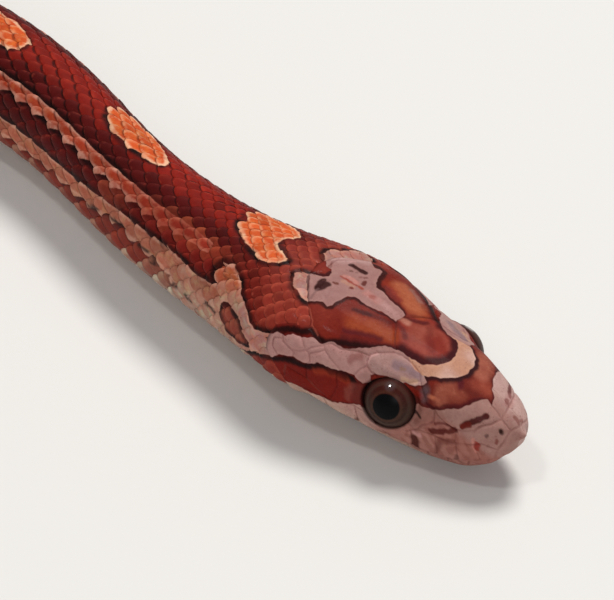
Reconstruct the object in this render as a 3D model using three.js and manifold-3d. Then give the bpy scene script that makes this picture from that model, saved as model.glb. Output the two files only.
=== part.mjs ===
// A corn snake at life size, in millimetres. It lies on the floor, z = 0, with its head low and level,
// its neck just clear of the floor and its body in easy bends. The head points along +X, and +Y is the
// snake's left. Places along the snake are measured back from the tip of the snout.
import * as THREE from 'three';
import { mergeVertices } from 'three/addons/utils/BufferGeometryUtils.js';
import Module from 'manifold-3d';

const wasm = await Module();
wasm.setup();

// Lengths, and where one node ends and the next begins
const totalLength = 800;
const tailLength = 125;
const headEnd = 20.5;
const neckEnd = 75;
const trunkCount = 8;
const nodeGap = 0.3;

// Half width of head and body at each place, without the eyes
const halfWidth = profile([
  [0, 0.7], [0.3, 1.15], [1, 1.75], [2, 2.35], [4, 3.15], [6, 3.75], [8, 4.2], [10, 4.75],
  [12.5, 5.4], [15, 5.95], [17, 6.15], [19, 5.85], [22, 5.05], [26, 4.35], [30, 4.0], [40, 3.8],
  [60, 4.6], [90, 5.3], [140, 6.5], [210, 7.7], [310, 8.4], [430, 8.4], [530, 7.8], [610, 6.7],
  [675, 5.0], [720, 3.7], [760, 2.3], [790, 1.0], [800, 0.45],
]);

// Height of the crown and back over the floor
const backHeight = profile([
  [0, 5.1], [0.3, 5.35], [1, 5.8], [2, 6.3], [4, 7.1], [6, 7.85], [8, 8.3], [11, 8.9], [15, 9.6],
  [18, 9.85], [22, 10.0], [28, 9.95], [40, 9.8], [60, 10.6], [90, 10.8], [140, 11.6], [210, 13.2],
  [310, 14.2], [430, 14.2], [530, 13.2], [610, 11.4], [675, 8.7], [720, 6.3], [760, 3.9],
  [790, 1.75], [800, 0.85],
]);

// Height of the chin, throat and belly over the floor: the neck arches clear and then lies down
const bellyHeight = profile([
  [0, 3.9], [0.3, 3.3], [1, 2.2], [2, 1.3], [4, 0.6], [8, 0.5], [12, 0.9], [16, 1.7], [21, 2.1],
  [30, 2.0], [60, 2.1], [72, 1.7], [84, 0.8], [96, 0.15], [102, 0], [800, 0],
]);

// Height of the widest part of each section
const widestHeight = profile([
  [0, 4.3], [2, 3.9], [6, 3.8], [10, 4.5], [15, 5.5], [22, 5.8], [40, 5.7], [60, 5.9], [90, 4.9],
  [140, 4.6], [310, 5.4], [530, 5.0], [675, 3.4], [760, 1.6], [800, 0.45],
]);

// Squareness of the upper and lower half of each section, where 2 is an ellipse
const upperPower = profile([[0, 2.2], [6, 2.5], [12, 2.4], [18, 2.2], [26, 2.0], [800, 2.0]]);
const lowerPower = profile([[0, 2.3], [4, 3.0], [12, 2.5], [24, 2.4], [60, 2.7], [800, 2.7]]);

// Bends of head and body, each from one place to another, in degrees to the snake's right
const bends = [
  [16, 44, 18.5], [43, 62, -13.5], [64, 135, -78], [135, 262, 165], [266, 394, -172],
  [398, 522, 163], [526, 640, -150], [644, 704, 72], [704, 792, -62],
];

// Belly scutes: each is a flat as long as one real scute, with a step down from the next one
const trunkScutes = 11;
const neckScutes = 8;
const tailScutes = 16;
const scuteFlat = 3.0;
const scuteStep = 0.25;
const bellyKeel = 0.45;
const neckSides = 16;
const trunkSides = 16;
const tailSides = 12;

// Head shields and lip scales
const headSides = 24;
const shieldRise = 0.2;
const shieldGap = 0.22;
const mouthCorner = 15.6;
const mouthHeight = profile([[-3, 3.3], [0.8, 3.1], [4, 2.4], [8, 2.4], [12, 3.0], [mouthCorner, 4.0]]);
const chinSetBack = 0.45;

// Eyes, with the middle of each ball behind the snout, out from the midline and over the floor
const eyeRadius = 2.1;
const eyePlace = { back: 8.6, out: 3.0, height: 5.05 };
const nostrilPlace = { back: 1.35, out: 1.75, height: 5.3 };
const nostrilRadius = 0.34;

// Smooth curve through a few points, with no overshoot between them
function profile(points) {
  const slopes = points.map((point, i) => {
    if (i === 0 || i === points.length - 1) return 0;
    const before = (point[1] - points[i - 1][1]) / (point[0] - points[i - 1][0]);
    const after = (points[i + 1][1] - point[1]) / (points[i + 1][0] - point[0]);
    return before * after <= 0 ? 0 : (2 * before * after) / (before + after);
  });
  slopes[0] = (points[1][1] - points[0][1]) / (points[1][0] - points[0][0]);
  return (place) => {
    const last = points.length - 2;
    let i = 0;
    while (i < last && place > points[i + 1][0]) i += 1;
    const span = points[i + 1][0] - points[i][0];
    const t = THREE.MathUtils.clamp((place - points[i][0]) / span, 0, 1);
    const rise = points[i + 1][1] - points[i][1];
    const startSlope = slopes[i] * span;
    const endSlope = slopes[i + 1] * span;
    const cubic = startSlope + endSlope - 2 * rise;
    const square = 3 * rise - 2 * startSlope - endSlope;
    return points[i][1] + t * (startSlope + t * (square + t * cubic));
  };
}

// Heading of the body at a place: the sum of the bends passed so far, each eased in and out
function headingAt(place) {
  const degrees = bends.reduce((sum, [from, to, turn]) => {
    return sum - turn * THREE.MathUtils.smoothstep(place, from, to);
  }, 0);
  return THREE.MathUtils.degToRad(degrees);
}

// The route of the midline, walked back from the snout in short steps
const routeStep = 0.25;
const route = [new THREE.Vector2(0, 0)];
for (let place = routeStep / 2; place < totalLength; place += routeStep) {
  const heading = headingAt(place);
  const last = route[route.length - 1];
  route.push(new THREE.Vector2(
    last.x - Math.cos(heading) * routeStep,
    last.y - Math.sin(heading) * routeStep,
  ));
}

function routeAt(place) {
  const index = Math.min(Math.max(place / routeStep, 0), route.length - 1.001);
  const whole = Math.floor(index);
  return route[whole].clone().lerp(route[whole + 1], index - whole);
}

// A point beside the midline at a place, at a height over the floor
function pointAt(place, side, height) {
  const middle = routeAt(place);
  const heading = headingAt(place);
  return new THREE.Vector3(
    middle.x - Math.sin(heading) * side,
    middle.y + Math.cos(heading) * side,
    height,
  );
}

// A point on the skin at a place and an angle round the section, from the snake's left over the back.
// The belly is cut flat, and a step lifts the flat of the belly.
function skinPoint(place, angle, swell, step) {
  const width = halfWidth(place) + swell;
  const widest = widestHeight(place);
  const across = Math.cos(angle);
  const up = Math.sin(angle);
  const power = 2 / (up > 0 ? upperPower(place) : lowerPower(place));
  const side = width * Math.sign(across) * Math.abs(across) ** power;
  if (up > 0) {
    const top = backHeight(place) + swell;
    return pointAt(place, side, widest + (top - widest) * up ** power);
  }
  const belly = bellyHeight(place) - swell;
  const keel = place > headEnd ? Math.min(bellyKeel, (widest - belly) / 3) : 0;
  const height = widest - (widest - belly + keel) * Math.abs(up) ** power;
  return pointAt(place, side, Math.max(height, belly + step));
}

// A closed solid through rings of skin points, with flat ends
function loft(rings, sides, swell = 0) {
  const positions = [];
  const faces = [];
  rings.forEach(({ place, step }) => {
    for (let side = 0; side < sides; side += 1) {
      const angle = (2 * Math.PI * side) / sides;
      positions.push(...skinPoint(place, angle, swell, step).toArray());
    }
  });
  for (let ring = 0; ring + 1 < rings.length; ring += 1) {
    for (let side = 0; side < sides; side += 1) {
      const next = (side + 1) % sides;
      const [a, b] = [ring * sides + side, ring * sides + next];
      const [c, d] = [a + sides, b + sides];
      faces.push(a, c, b, b, c, d);
    }
  }
  [0, rings.length - 1].forEach((ring) => {
    const { place } = rings[ring];
    const middle = positions.length / 3;
    const height = (backHeight(place) + bellyHeight(place)) / 2;
    positions.push(...pointAt(place, 0, height).toArray());
    for (let side = 0; side < sides; side += 1) {
      const a = ring * sides + side;
      const b = ring * sides + ((side + 1) % sides);
      faces.push(...(ring === 0 ? [middle, a, b] : [middle, b, a]));
    }
  });
  const geometry = new THREE.BufferGeometry();
  geometry.setAttribute('position', new THREE.Float32BufferAttribute(positions, 3));
  geometry.setIndex(faces);
  return geometry;
}

// A length of body with its belly scutes, between two places
function bodyLength(from, to, scutes, sides) {
  const pitch = (to - from) / scutes;
  const flat = Math.min(scuteFlat, pitch * 0.6);
  const rings = [];
  for (let scute = 0; scute < scutes; scute += 1) {
    const start = from + scute * pitch;
    rings.push({ place: start, step: 0 });
    rings.push({ place: start + flat, step: 0 });
    rings.push({ place: start + flat + 0.1, step: Math.min(scuteStep, halfWidth(start) * 0.1) });
  }
  rings.push({ place: to, step: 0 });
  return loft(rings, sides);
}

// Solids for joins and cuts
function toSolid(geometry) {
  const bare = geometry.clone();
  bare.deleteAttribute('normal');
  bare.deleteAttribute('uv');
  const merged = mergeVertices(bare, 1e-4);
  return new wasm.Manifold(new wasm.Mesh({
    numProp: 3,
    vertProperties: new Float32Array(merged.getAttribute('position').array),
    triVerts: new Uint32Array(merged.getIndex().array),
  }));
}

// The largest closed surface of a solid, as geometry
function toGeometry(solid) {
  const pieces = solid.decompose();
  pieces.sort((a, b) => Math.abs(b.volume()) - Math.abs(a.volume()));
  const mesh = pieces[0].getMesh();
  const geometry = new THREE.BufferGeometry();
  geometry.setAttribute('position', new THREE.BufferAttribute(mesh.vertProperties, 3));
  geometry.setIndex(new THREE.BufferAttribute(mesh.triVerts, 1));
  return geometry;
}

// A straight-sided block from an outline seen from above, between two heights
function blockFromAbove(outline, low, high) {
  const shape = new THREE.Shape(outline.map(([back, out]) => new THREE.Vector2(-back, out)));
  const geometry = new THREE.ExtrudeGeometry(shape, { depth: high - low, bevelEnabled: false });
  geometry.translate(0, 0, low);
  return toSolid(geometry);
}

// A straight-sided block from an outline seen from the side, between two distances from the midline
function blockFromSide(outline, from, to) {
  const shape = new THREE.Shape(outline.map(([back, height]) => new THREE.Vector2(-back, height)));
  const geometry = new THREE.ExtrudeGeometry(shape, { depth: to - from, bevelEnabled: false });
  geometry.rotateX(Math.PI / 2);
  geometry.translate(0, to, 0);
  return toSolid(geometry);
}

// The head's own rings, closer together at the snout
const headPlaces = [0, 0.3, 0.7, 1.2, 2, 3, 4.2, 5.5, 7, 8.5, 10, 11.5, 13, 14.5, 16, 17.5, 19, headEnd];
const headRings = headPlaces.map((place) => ({ place, step: 0 }));
const headCore = toSolid(loft(headRings, headSides));
const headSwollen = toSolid(loft(headRings, headSides, shieldRise));

// Everything below the line of the mouth, drawn up or down by half of the gap
function jawRegion(shift) {
  const outline = [[-3, -3], [-3, mouthHeight(-3) + shift]];
  for (let back = 0.8; back < mouthCorner; back += 2.4) {
    outline.push([back, mouthHeight(back) + shift]);
  }
  outline.push([mouthCorner + shift, mouthHeight(mouthCorner) + shift], [headEnd - 0.9 + shift, -3]);
  return blockFromSide(outline, -12, 12);
}

// Shields on top of the head: outlines as places back from the snout and out from the midline
const half = shieldGap / 2;
const pairedShields = [
  // internasal
  [[1.0, half], [2.3, half], [2.3, 1.2], [1.5, 1.55], [0.9, 0.8]],
  // prefrontal
  [[2.3 + shieldGap, half], [5.75, half], [6.1, 2.3], [5.0, 3.0], [2.6, 1.45]],
  // supraocular
  [[6.5, 2.35], [7.0, 3.25], [9.0, 3.75], [11.0, 3.75], [11.1, 3.1], [9.9, 2.45], [8.2, 2.25]],
  // parietal
  [[11.4, half], [10.15, 2.35], [11.35, 3.15], [11.5, 4.0], [14.5, 4.3], [16.8, 2.6], [17.1, 1.6], [15.9, half]],
];
const frontalShield = [[6.0, 0], [6.25, 1.9], [8.2, 2.0], [9.95, 2.15], [11.2, 0], [9.95, -2.15], [8.2, -2.0],
  [6.25, -1.9]];

// Shields on the side of the head: outlines as places back from the snout and heights over the floor
const sideShields = [
  // nasal
  [[0.9, 4.3], [0.95, 5.4], [2.3, 5.7], [2.9, 5.4], [2.8, 4.1]],
  // loreal
  [[3.1, 4.2], [3.15, 5.5], [4.9, 6.2], [4.8, 4.4]],
  // preocular
  [[5.1, 4.6], [5.2, 6.4], [6.2, 7.0], [6.5, 4.7]],
  // postoculars
  [[10.9, 4.6], [10.8, 5.9], [12.0, 6.0], [12.1, 4.8]],
  [[10.9, 6.1], [10.9, 7.2], [11.9, 7.4], [12.1, 6.2]],
  // temporals
  [[12.3, 5.1], [12.2, 7.2], [14.4, 7.5], [14.6, 5.3]],
  [[14.9, 4.9], [14.8, 6.2], [17.0, 6.4], [17.1, 4.9]],
  [[14.8, 6.5], [14.7, 7.7], [16.9, 7.8], [17.0, 6.7]],
];

// Lip scales: their front edges, and the height of the upper row's top edge
const upperLipEdges = [0.75, 2.2, 3.6, 5.0, 6.7, 8.6, 10.7, 13.0, 15.4];
const lowerLipEdges = [1.4, 2.7, 4.1, 5.5, 7.0, 8.8, 10.8, 13.0, 15.2];
const upperLipTop = profile([[0, 4.05], [3, 4.0], [6, 4.2], [8.5, 3.9], [11, 4.4], [15.4, 4.7]]);
const lowerLipDepth = 1.1;

function lipScale(edges, index, low, high) {
  const from = edges[index] + half;
  const to = edges[index + 1] - half;
  return [[from, low(from)], [from, high(from)], [to, high(to)], [to, low(to)]];
}

// Scales of one side, raised by cutting the swollen head to their outlines
function raised(solids) {
  return wasm.Manifold.union(solids).intersect(headSwollen);
}

function bothSides(outline) {
  return [blockFromSide(outline, 1.0, 9), blockFromSide(outline, -9, -1.0)];
}

function eyeBall(side, radius) {
  const ball = new THREE.SphereGeometry(radius, 20, 14);
  ball.translate(-eyePlace.back, side * eyePlace.out, eyePlace.height);
  return ball;
}

function makeHead() {
  const mirrored = pairedShields.map((outline) => outline.map(([back, out]) => [back, -out]));
  const fromAbove = [...pairedShields, ...mirrored, frontalShield];
  const rostral = [[-1, -0.85], [-1, 0.85], [0.7, 0.7], [0.85, 0], [0.7, -0.7]];
  const top = fromAbove.map((outline) => blockFromAbove(outline, 5.3, 12));
  top.push(blockFromAbove(rostral, 3, 12));
  const side = sideShields.flatMap(bothSides);
  const lipBase = (back) => mouthHeight(back) - 1;
  for (let index = 0; index + 1 < upperLipEdges.length; index += 1) {
    side.push(...bothSides(lipScale(upperLipEdges, index, lipBase, upperLipTop)));
  }
  let head = headCore.add(raised([...top, ...side])).subtract(jawRegion(nodeGap / 2));
  [1, -1].forEach((sign) => {
    const nostril = new THREE.SphereGeometry(nostrilRadius, 8, 6);
    nostril.translate(-nostrilPlace.back, sign * nostrilPlace.out, nostrilPlace.height);
    head = head.subtract(toSolid(eyeBall(sign, eyeRadius + nodeGap))).subtract(toSolid(nostril));
  });
  return toGeometry(head);
}

function makeLowerJaw() {
  const side = [];
  const lipTop = (back) => mouthHeight(back) + 1;
  const lipBase = (back) => mouthHeight(back) - lowerLipDepth;
  for (let index = 0; index + 1 < lowerLipEdges.length; index += 1) {
    side.push(...bothSides(lipScale(lowerLipEdges, index, lipBase, lipTop)));
  }
  const chinShields = [
    [[2.2, half], [2.6, 1.3], [5.6, 1.7], [5.9, half]],
    [[6.2, half], [6.0, 1.6], [9.2, 1.9], [9.4, half]],
  ];
  const below = chinShields.flatMap((outline) => [
    blockFromAbove(outline, 0, 2),
    blockFromAbove(outline.map(([back, out]) => [back, -out]), 0, 2),
  ]);
  const floor = blockFromAbove([[-5, -15], [-5, 15], [30, 15], [30, -15]], 0, 12);
  const jaw = headCore.add(raised([...side, ...below])).intersect(floor);
  const setBack = jaw.translate([-chinSetBack, 0, 0]);
  return toGeometry(jaw.intersect(setBack.add(blockBehindChin())).intersect(jawRegion(-nodeGap / 2)));
}

// The lower jaw is set back under the snout only at its front
function blockBehindChin() {
  return blockFromAbove([[3, -12], [3, 12], [30, 12], [30, -12]], -1, 12);
}

// Colours of skin and eye, one for each length of the body
const skinColours = { head: 0x8a4432, lower_jaw: 0xb9988c, neck: 0x7c2f22, trunk: 0x74291c, tail: 0x7a2d1e };
const eyeColour = 0x2b1c17;

function addNode(group, name, geometry, colour, roughness = 0.45) {
  const flat = geometry.index ? geometry.toNonIndexed() : geometry;
  flat.computeVertexNormals();
  const material = new THREE.MeshStandardMaterial({ color: colour, roughness, metalness: 0 });
  const mesh = new THREE.Mesh(flat, material);
  mesh.name = name;
  group.add(mesh);
}

const snake = new THREE.Group();
addNode(snake, 'head', makeHead(), skinColours.head);
addNode(snake, 'lower_jaw', makeLowerJaw(), skinColours.lower_jaw);
addNode(snake, 'eye_left', eyeBall(1, eyeRadius), eyeColour, 0.08);
addNode(snake, 'eye_right', eyeBall(-1, eyeRadius), eyeColour, 0.08);
addNode(snake, 'neck', bodyLength(headEnd + nodeGap, neckEnd, neckScutes, neckSides), skinColours.neck);
const tailStart = totalLength - tailLength;
const trunkPart = (tailStart - neckEnd) / trunkCount;
for (let part = 0; part < trunkCount; part += 1) {
  const from = neckEnd + part * trunkPart + nodeGap;
  const length = bodyLength(from, from + trunkPart - nodeGap, trunkScutes, trunkSides);
  addNode(snake, `trunk_${part + 1}`, length, skinColours.trunk);
}
addNode(snake, 'tail', bodyLength(tailStart + nodeGap, totalLength, tailScutes, tailSides), skinColours.tail);

// The origin is under the middle of the whole snake
const extent = new THREE.Box3().setFromObject(snake);
const middle = extent.getCenter(new THREE.Vector3());
snake.position.set(-middle.x, -middle.y, 0);

export default snake;
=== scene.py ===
import math

import bpy
import numpy as np
from mathutils import Matrix, Vector


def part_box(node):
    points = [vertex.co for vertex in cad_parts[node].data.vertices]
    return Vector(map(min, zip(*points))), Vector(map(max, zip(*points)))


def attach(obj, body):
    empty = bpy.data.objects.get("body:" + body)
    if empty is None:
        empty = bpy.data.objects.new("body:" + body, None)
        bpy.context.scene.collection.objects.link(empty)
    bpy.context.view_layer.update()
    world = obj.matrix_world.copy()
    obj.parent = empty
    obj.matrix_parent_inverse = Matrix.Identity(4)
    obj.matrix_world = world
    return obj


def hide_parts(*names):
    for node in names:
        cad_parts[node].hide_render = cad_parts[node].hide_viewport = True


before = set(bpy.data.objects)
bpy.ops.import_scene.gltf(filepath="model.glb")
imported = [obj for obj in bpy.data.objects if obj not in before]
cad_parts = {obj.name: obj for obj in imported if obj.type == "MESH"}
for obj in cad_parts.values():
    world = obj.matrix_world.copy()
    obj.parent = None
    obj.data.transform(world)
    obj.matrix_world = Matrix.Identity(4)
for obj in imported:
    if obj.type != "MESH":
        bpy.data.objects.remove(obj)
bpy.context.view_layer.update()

# The skin. A snake wears one unbroken skin from the snout to the tip of the tail: thin and elastic
# under the scales of the body, and grown together with the horny shields on the head. It is laid
# round the same girths and along the same bends as the solids, in mm back from the snout.
mm = 0.001
tail_tip = 800.0
vent = 675.0
eye_back = 8.6
eye_out = 3.0
eye_height = 5.05
eye_radius = 2.1
eye_sunk = 0.2
eye_drop = 0.12
left_eye_out = 0.5


def profile(*points):
    """A size that runs smoothly along the snake, through pairs of mm back from the snout and size."""
    places, sizes = np.array(points, float).T
    slopes = np.diff(sizes) / np.diff(places)
    product = slopes[:-1] * slopes[1:]
    total = np.where(product > 0, slopes[:-1] + slopes[1:], 1)
    lean = np.concatenate([slopes[:1], np.where(product > 0, 2 * product / total, 0), [0]])

    def size_at(back):
        back = np.asarray(back, float)
        i = np.clip(np.searchsorted(places, back, side="right") - 1, 0, len(places) - 2)
        length = places[i + 1] - places[i]
        t = np.clip((back - places[i]) / length, 0, 1)
        rise = sizes[i + 1] - sizes[i]
        start = lean[i] * length
        end = lean[i + 1] * length
        return sizes[i] + t * (start + t * ((3 * rise - 2 * start - end) + t * (start + end - 2 * rise)))

    return size_at


half_width = profile(
    (0, 0.7), (0.3, 1.15), (1, 1.75), (2, 2.35), (4, 3.15), (6, 3.75), (8, 4.2), (10, 4.75), (12.5, 5.4),
    (15, 5.95), (17, 6.15), (19, 5.85), (22, 5.05), (26, 4.35), (30, 4.0), (40, 3.8), (60, 4.6), (90, 5.3),
    (140, 6.5), (210, 7.7), (310, 8.4), (430, 8.4), (530, 7.8), (610, 6.7), (675, 5.0), (720, 3.7),
    (760, 2.3), (790, 1.0), (800, 0.45),
)
back_height = profile(
    (0, 5.1), (0.3, 5.35), (1, 5.8), (2, 6.3), (4, 7.1), (6, 7.85), (8, 8.3), (11, 8.9), (15, 9.6),
    (18, 9.85), (22, 10), (28, 9.95), (40, 9.8), (60, 10.6), (90, 10.8), (140, 11.6), (210, 13.2),
    (310, 14.2), (430, 14.2), (530, 13.2), (610, 11.4), (675, 8.7), (720, 6.3), (760, 3.9), (790, 1.75),
    (800, 0.85),
)
belly_height = profile(
    (0, 3.9), (0.3, 3.3), (1, 2.2), (2, 1.3), (4, 0.6), (8, 0.5), (12, 0.9), (16, 1.7), (21, 2.1), (30, 2.0),
    (60, 2.1), (72, 1.7), (84, 0.8), (96, 0.15), (102, 0), (800, 0),
)
widest_height = profile(
    (0, 4.3), (2, 3.9), (6, 3.8), (10, 4.5), (15, 5.5), (22, 5.8), (40, 5.7), (60, 5.9), (90, 4.9),
    (140, 4.6), (310, 5.4), (530, 5.0), (675, 3.4), (760, 1.6), (800, 0.45),
)
upper_power = profile((0, 2.2), (6, 2.5), (12, 2.4), (18, 2.2), (26, 2), (800, 2))
lower_power = profile((0, 2.3), (4, 3.0), (12, 2.5), (24, 2.4), (60, 2.7), (800, 2.7))
mouth_height = profile((-3, 3.3), (0.8, 3.1), (4, 2.4), (8, 2.4), (12, 3.0), (15.6, 4.0))
mouth_corner = 15.6
bends = (
    (16, 44, 18.5), (43, 62, -13.5), (64, 135, -78), (135, 262, 165), (266, 394, -172),
    (398, 522, 163), (526, 640, -150), (644, 704, 72), (704, 792, -62),
)


def heading(back):
    """The way that the body points, in radians."""
    total = 0.0
    for start, end, turn in bends:
        t = np.clip((np.asarray(back, float) - start) / (end - start), 0, 1)
        total = total - turn * t * t * (3 - 2 * t)
    return np.radians(total)


left_low, left_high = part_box("eye_left")
right_low, right_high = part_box("eye_right")
snout_x = (left_low.x + left_high.x) / 2 / mm + eye_back
middle_y = (left_low.y + left_high.y + right_low.y + right_high.y) / 4 / mm
course_step = 0.25
course_places = np.arange(0, tail_tip + course_step / 2, course_step)
course_turns = heading(course_places[:-1] + course_step / 2)
course_x = snout_x - np.concatenate([[0], np.cumsum(np.cos(course_turns) * course_step)])
course_y = middle_y - np.concatenate([[0], np.cumsum(np.sin(course_turns) * course_step)])


def section(back, angle):
    """Half of the body's outline at one place: how far out and up it lies, with angle 0 on the spine line."""
    out = np.sin(angle)
    up = np.cos(angle)
    power = 2 / np.where(up > 0, upper_power(back), lower_power(back))
    middle = widest_height(back)
    belly = belly_height(back)
    keel = np.where(back > 20.5, np.minimum(0.45, (middle - belly) / 3), 0)
    rise = np.abs(up) ** power
    above = middle + (back_height(back) - middle) * rise
    below = np.maximum(middle - (middle - belly + keel) * rise, belly)
    return half_width(back) * np.abs(out) ** power, np.where(up > 0, above, below)


pelt_places = np.concatenate([np.arange(0, 30, 0.1), np.arange(30, tail_tip + 0.1, 0.5)])
pelt_steps = 160
pelt_out = np.zeros((len(pelt_places), pelt_steps + 1))
pelt_up = pelt_out.copy()
half_girths = np.zeros(len(pelt_places))
belly_edges = np.zeros(len(pelt_places))
for row, place in enumerate(pelt_places):
    angles = np.linspace(0, np.pi, 721)
    out, up = section(np.full(721, place), angles)
    along = np.concatenate([[0], np.cumsum(np.hypot(np.diff(out), np.diff(up)))])
    half_girths[row] = along[-1]
    low = belly_height(place) + 0.12 * (back_height(place) - belly_height(place))
    belly_edges[row] = along[np.argmax(up < low)]
    shares = np.linspace(0, along[-1], pelt_steps + 1)
    pelt_out[row] = np.interp(shares, along, out)
    pelt_up[row] = np.interp(shares, along, up)
across = np.gradient(pelt_out, axis=1)
down = np.gradient(pelt_up, axis=1)
across[:, 0] = 1
down[:, 0] = 0
across[:, -1] = -1
down[:, -1] = 0
slant = np.hypot(across, down)
pelt_face_out = -down / slant
pelt_face_up = across / slant


def half_girth(back):
    return np.interp(back, pelt_places, half_girths)


def belly_edge(back):
    """The arc from the spine line down to the corner of the belly scutes."""
    return np.interp(back, pelt_places, belly_edges)


def lay(back, arc, lift=0.0):
    """Points on the pelt in mm: so far back, round from the spine line (left is positive) and lifted off."""
    back, arc, lift = np.broadcast_arrays(*(np.asarray(value, float) for value in (back, arc, lift)))
    back = np.clip(back, 0, tail_tip)
    row = np.interp(back, pelt_places, np.arange(len(pelt_places)))
    i = np.minimum(row.astype(int), len(pelt_places) - 2)
    f = row - i
    half = half_girths[i] * (1 - f) + half_girths[i + 1] * f
    side = np.where(arc < 0, -1.0, 1.0)
    reach = np.abs(arc) / half
    side = np.where(reach > 1, -side, side)
    column = np.clip(np.where(reach > 1, 2 - reach, reach), 0, 1) * pelt_steps
    j = np.minimum(column.astype(int), pelt_steps - 1)
    g = column - j

    def read(table):
        near = table[i, j] * (1 - g) + table[i, j + 1] * g
        far = table[i + 1, j] * (1 - g) + table[i + 1, j + 1] * g
        return near * (1 - f) + far * f

    out = side * (read(pelt_out) + lift * read(pelt_face_out))
    up = read(pelt_up) + lift * read(pelt_face_up)
    turn = heading(back)
    x = np.interp(back, course_places, course_x) - np.sin(turn) * out
    y = np.interp(back, course_places, course_y) + np.cos(turn) * out
    return np.stack([x, y, up], -1)


coat_depth = profile(
    (12, 0.16), (18, 0.2), (28, 0.26), (45, 0.3), (90, 0.34), (200, 0.42), (500, 0.42), (675, 0.28),
    (740, 0.16), (800, 0.05),
)
scales_begin = profile(
    (0, 18.2), (1.45, 17.9), (2.6, 17.0), (3.9, 15.9), (4.7, 15.2), (5.3, 16.4), (6, 17.4), (7.6, 17.6),
    (8.6, 16.9), (9.6, 16.2), (11, 15.9), (13, 16.4), (16, 16.6),
)


def smooth(low, high, value):
    """0 below low, 1 above high, and a soft step between."""
    t = np.clip((value - low) / (high - low), 0, 1)
    return t * t * (3 - 2 * t)


def hump(away, width):
    """A soft swelling that is 1 in its middle and dies away over this width."""
    return np.exp(-((away / width) ** 2))


# The markings of the head and the neck, drawn on the pelt as (back, arc) in mm. The right side and
# the crown are seen in the picture, and the left side repeats the right, as it does on the animal.
def mirrored(*points):
    """The same line on the left side. The crown's marks sit a quarter of a mm right of the spine line."""
    return tuple((back, -arc - 0.5 * float(1 - smooth(2.5, 4.5, abs(arc)))) for back, arc in points)


def line_distance(back, arc, line):
    """How far each place lies from a line, in mm."""
    best = np.full(back.shape, 99.0)
    reach = np.array(line)
    near = (back > reach[:, 0].min() - 3) & (back < reach[:, 0].max() + 3)
    near &= (arc > reach[:, 1].min() - 3) & (arc < reach[:, 1].max() + 3)
    x = back[near]
    y = arc[near]
    least = np.full(x.shape, 99.0)
    for (x1, y1), (x2, y2) in zip(line[:-1], line[1:]):
        dx = x2 - x1
        dy = y2 - y1
        t = np.clip(((x - x1) * dx + (y - y1) * dy) / (dx * dx + dy * dy + 1e-9), 0, 1)
        least = np.minimum(least, np.hypot(x - x1 - t * dx, y - y1 - t * dy))
    best[near] = least
    return best


def patch_distance(back, arc, outline):
    """How deep each place lies in a closed outline, in mm: negative outside it."""
    loop = tuple(outline) + (outline[0],)
    away = line_distance(back, arc, loop)
    inside = np.zeros(back.shape, bool)
    for (x1, y1), (x2, y2) in zip(loop[:-1], loop[1:]):
        if y1 != y2:
            crosses = (y1 > arc) != (y2 > arc)
            inside ^= crosses & (back < x1 + (arc - y1) * (x2 - x1) / (y2 - y1))
    return np.where(inside, away, -away)


def deepest(back, arc, outlines):
    """How deep each place lies in the nearest of several outlines, in mm."""
    return np.max([patch_distance(back, arc, outline) for outline in outlines], axis=0)


crown_mark = (
    (10.85, -0.6), (10.87, 0.4), (11.7, 0.6), (12.5, 0.7), (13.1, 0.88), (13.8, 0.9), (14.1, 1.25),
    (14.35, 1.7), (14.6, 2.4), (14.85, 2.9), (15.15, 2.95), (15.4, 2.75), (15.8, 3.0), (16.1, 3.4),
    (16.5, 3.9), (17.2, 4.4), (17.9, 4.4), (18.0, 3.7), (18.25, 3.0), (18.1, 2.55), (18.5, 2.4),
    (18.85, 1.8), (18.7, 1.2), (18.1, 0.6), (17.6, 0.1), (17.2, 0.1), (16.8, -0.2), (16.75, -0.7),
    (17.0, -1.0), (17.5, -1.05), (17.95, -1.35), (18.5, -1.55), (18.68, -1.9), (18.4, -2.4), (18.0, -2.9),
    (17.5, -3.0), (17.2, -3.25), (16.5, -3.4), (15.9, -3.1), (15.5, -2.85), (15.0, -2.9), (14.8, -2.6),
    (14.7, -2.0), (14.5, -1.3), (14.1, -1.0), (13.5, -1.0), (12.9, -1.0), (12.0, -0.7), (11.1, -0.6),
)
head_stripe = (
    (23.9, -3.7), (22.95, -3.6), (21.71, -4.34), (21.2, -5.13), (20.11, -6.0), (19.7, -6.58), (19.0, -6.93),
    (17.95, -6.8), (17.37, -6.66), (16.93, -6.25), (16.33, -6.23), (15.95, -5.82), (15.26, -5.74),
    (14.47, -5.28), (13.73, -5.31), (13.25, -4.76), (12.21, -4.54), (10.78, -3.4), (10.13, -2.76),
    (9.32, -2.37), (8.32, -2.3), (7.34, -2.3), (6.5, -2.9), (6.59, -3.2), (7.14, -3.61), (8.04, -4.05),
    (9.12, -4.31), (9.83, -4.71), (10.0, -4.94), (9.87, -5.46), (10.39, -5.82), (10.99, -5.65),
    (11.87, -5.95), (12.53, -6.23), (13.54, -6.52), (14.26, -7.12), (15.35, -7.25), (16.53, -7.71),
    (16.95, -8.16), (18.15, -8.56), (18.9, -8.46), (19.68, -8.0), (20.14, -7.07), (20.9, -6.6),
    (21.59, -6.0), (22.6, -6.41), (23.59, -6.15), (23.21, -5.57), (24.2, -4.57),
)
snout_right = (
    (3.19, 0.14), (2.65, -0.34), (2.45, -0.88), (2.85, -0.8), (3.1, -1.22), (3.34, -1.66), (3.54, -2.02),
    (3.96, -2.73), (4.43, -3.09), (4.96, -3.81), (5.5, -4.15), (6.0, -4.4), (6.5, -4.65), (6.8, -5.2),
    (7.3, -5.8), (7.5, -6.5), (8.2, -7.4), (9.1, -8.0), (10.2, -7.4), (11.2, -8.15),
    (12.4, -9.0), (15, -9.6), (18, -10.3), (26, -10.6), (26, -22), (-1, -22), (-1, 0.14),
)
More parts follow.
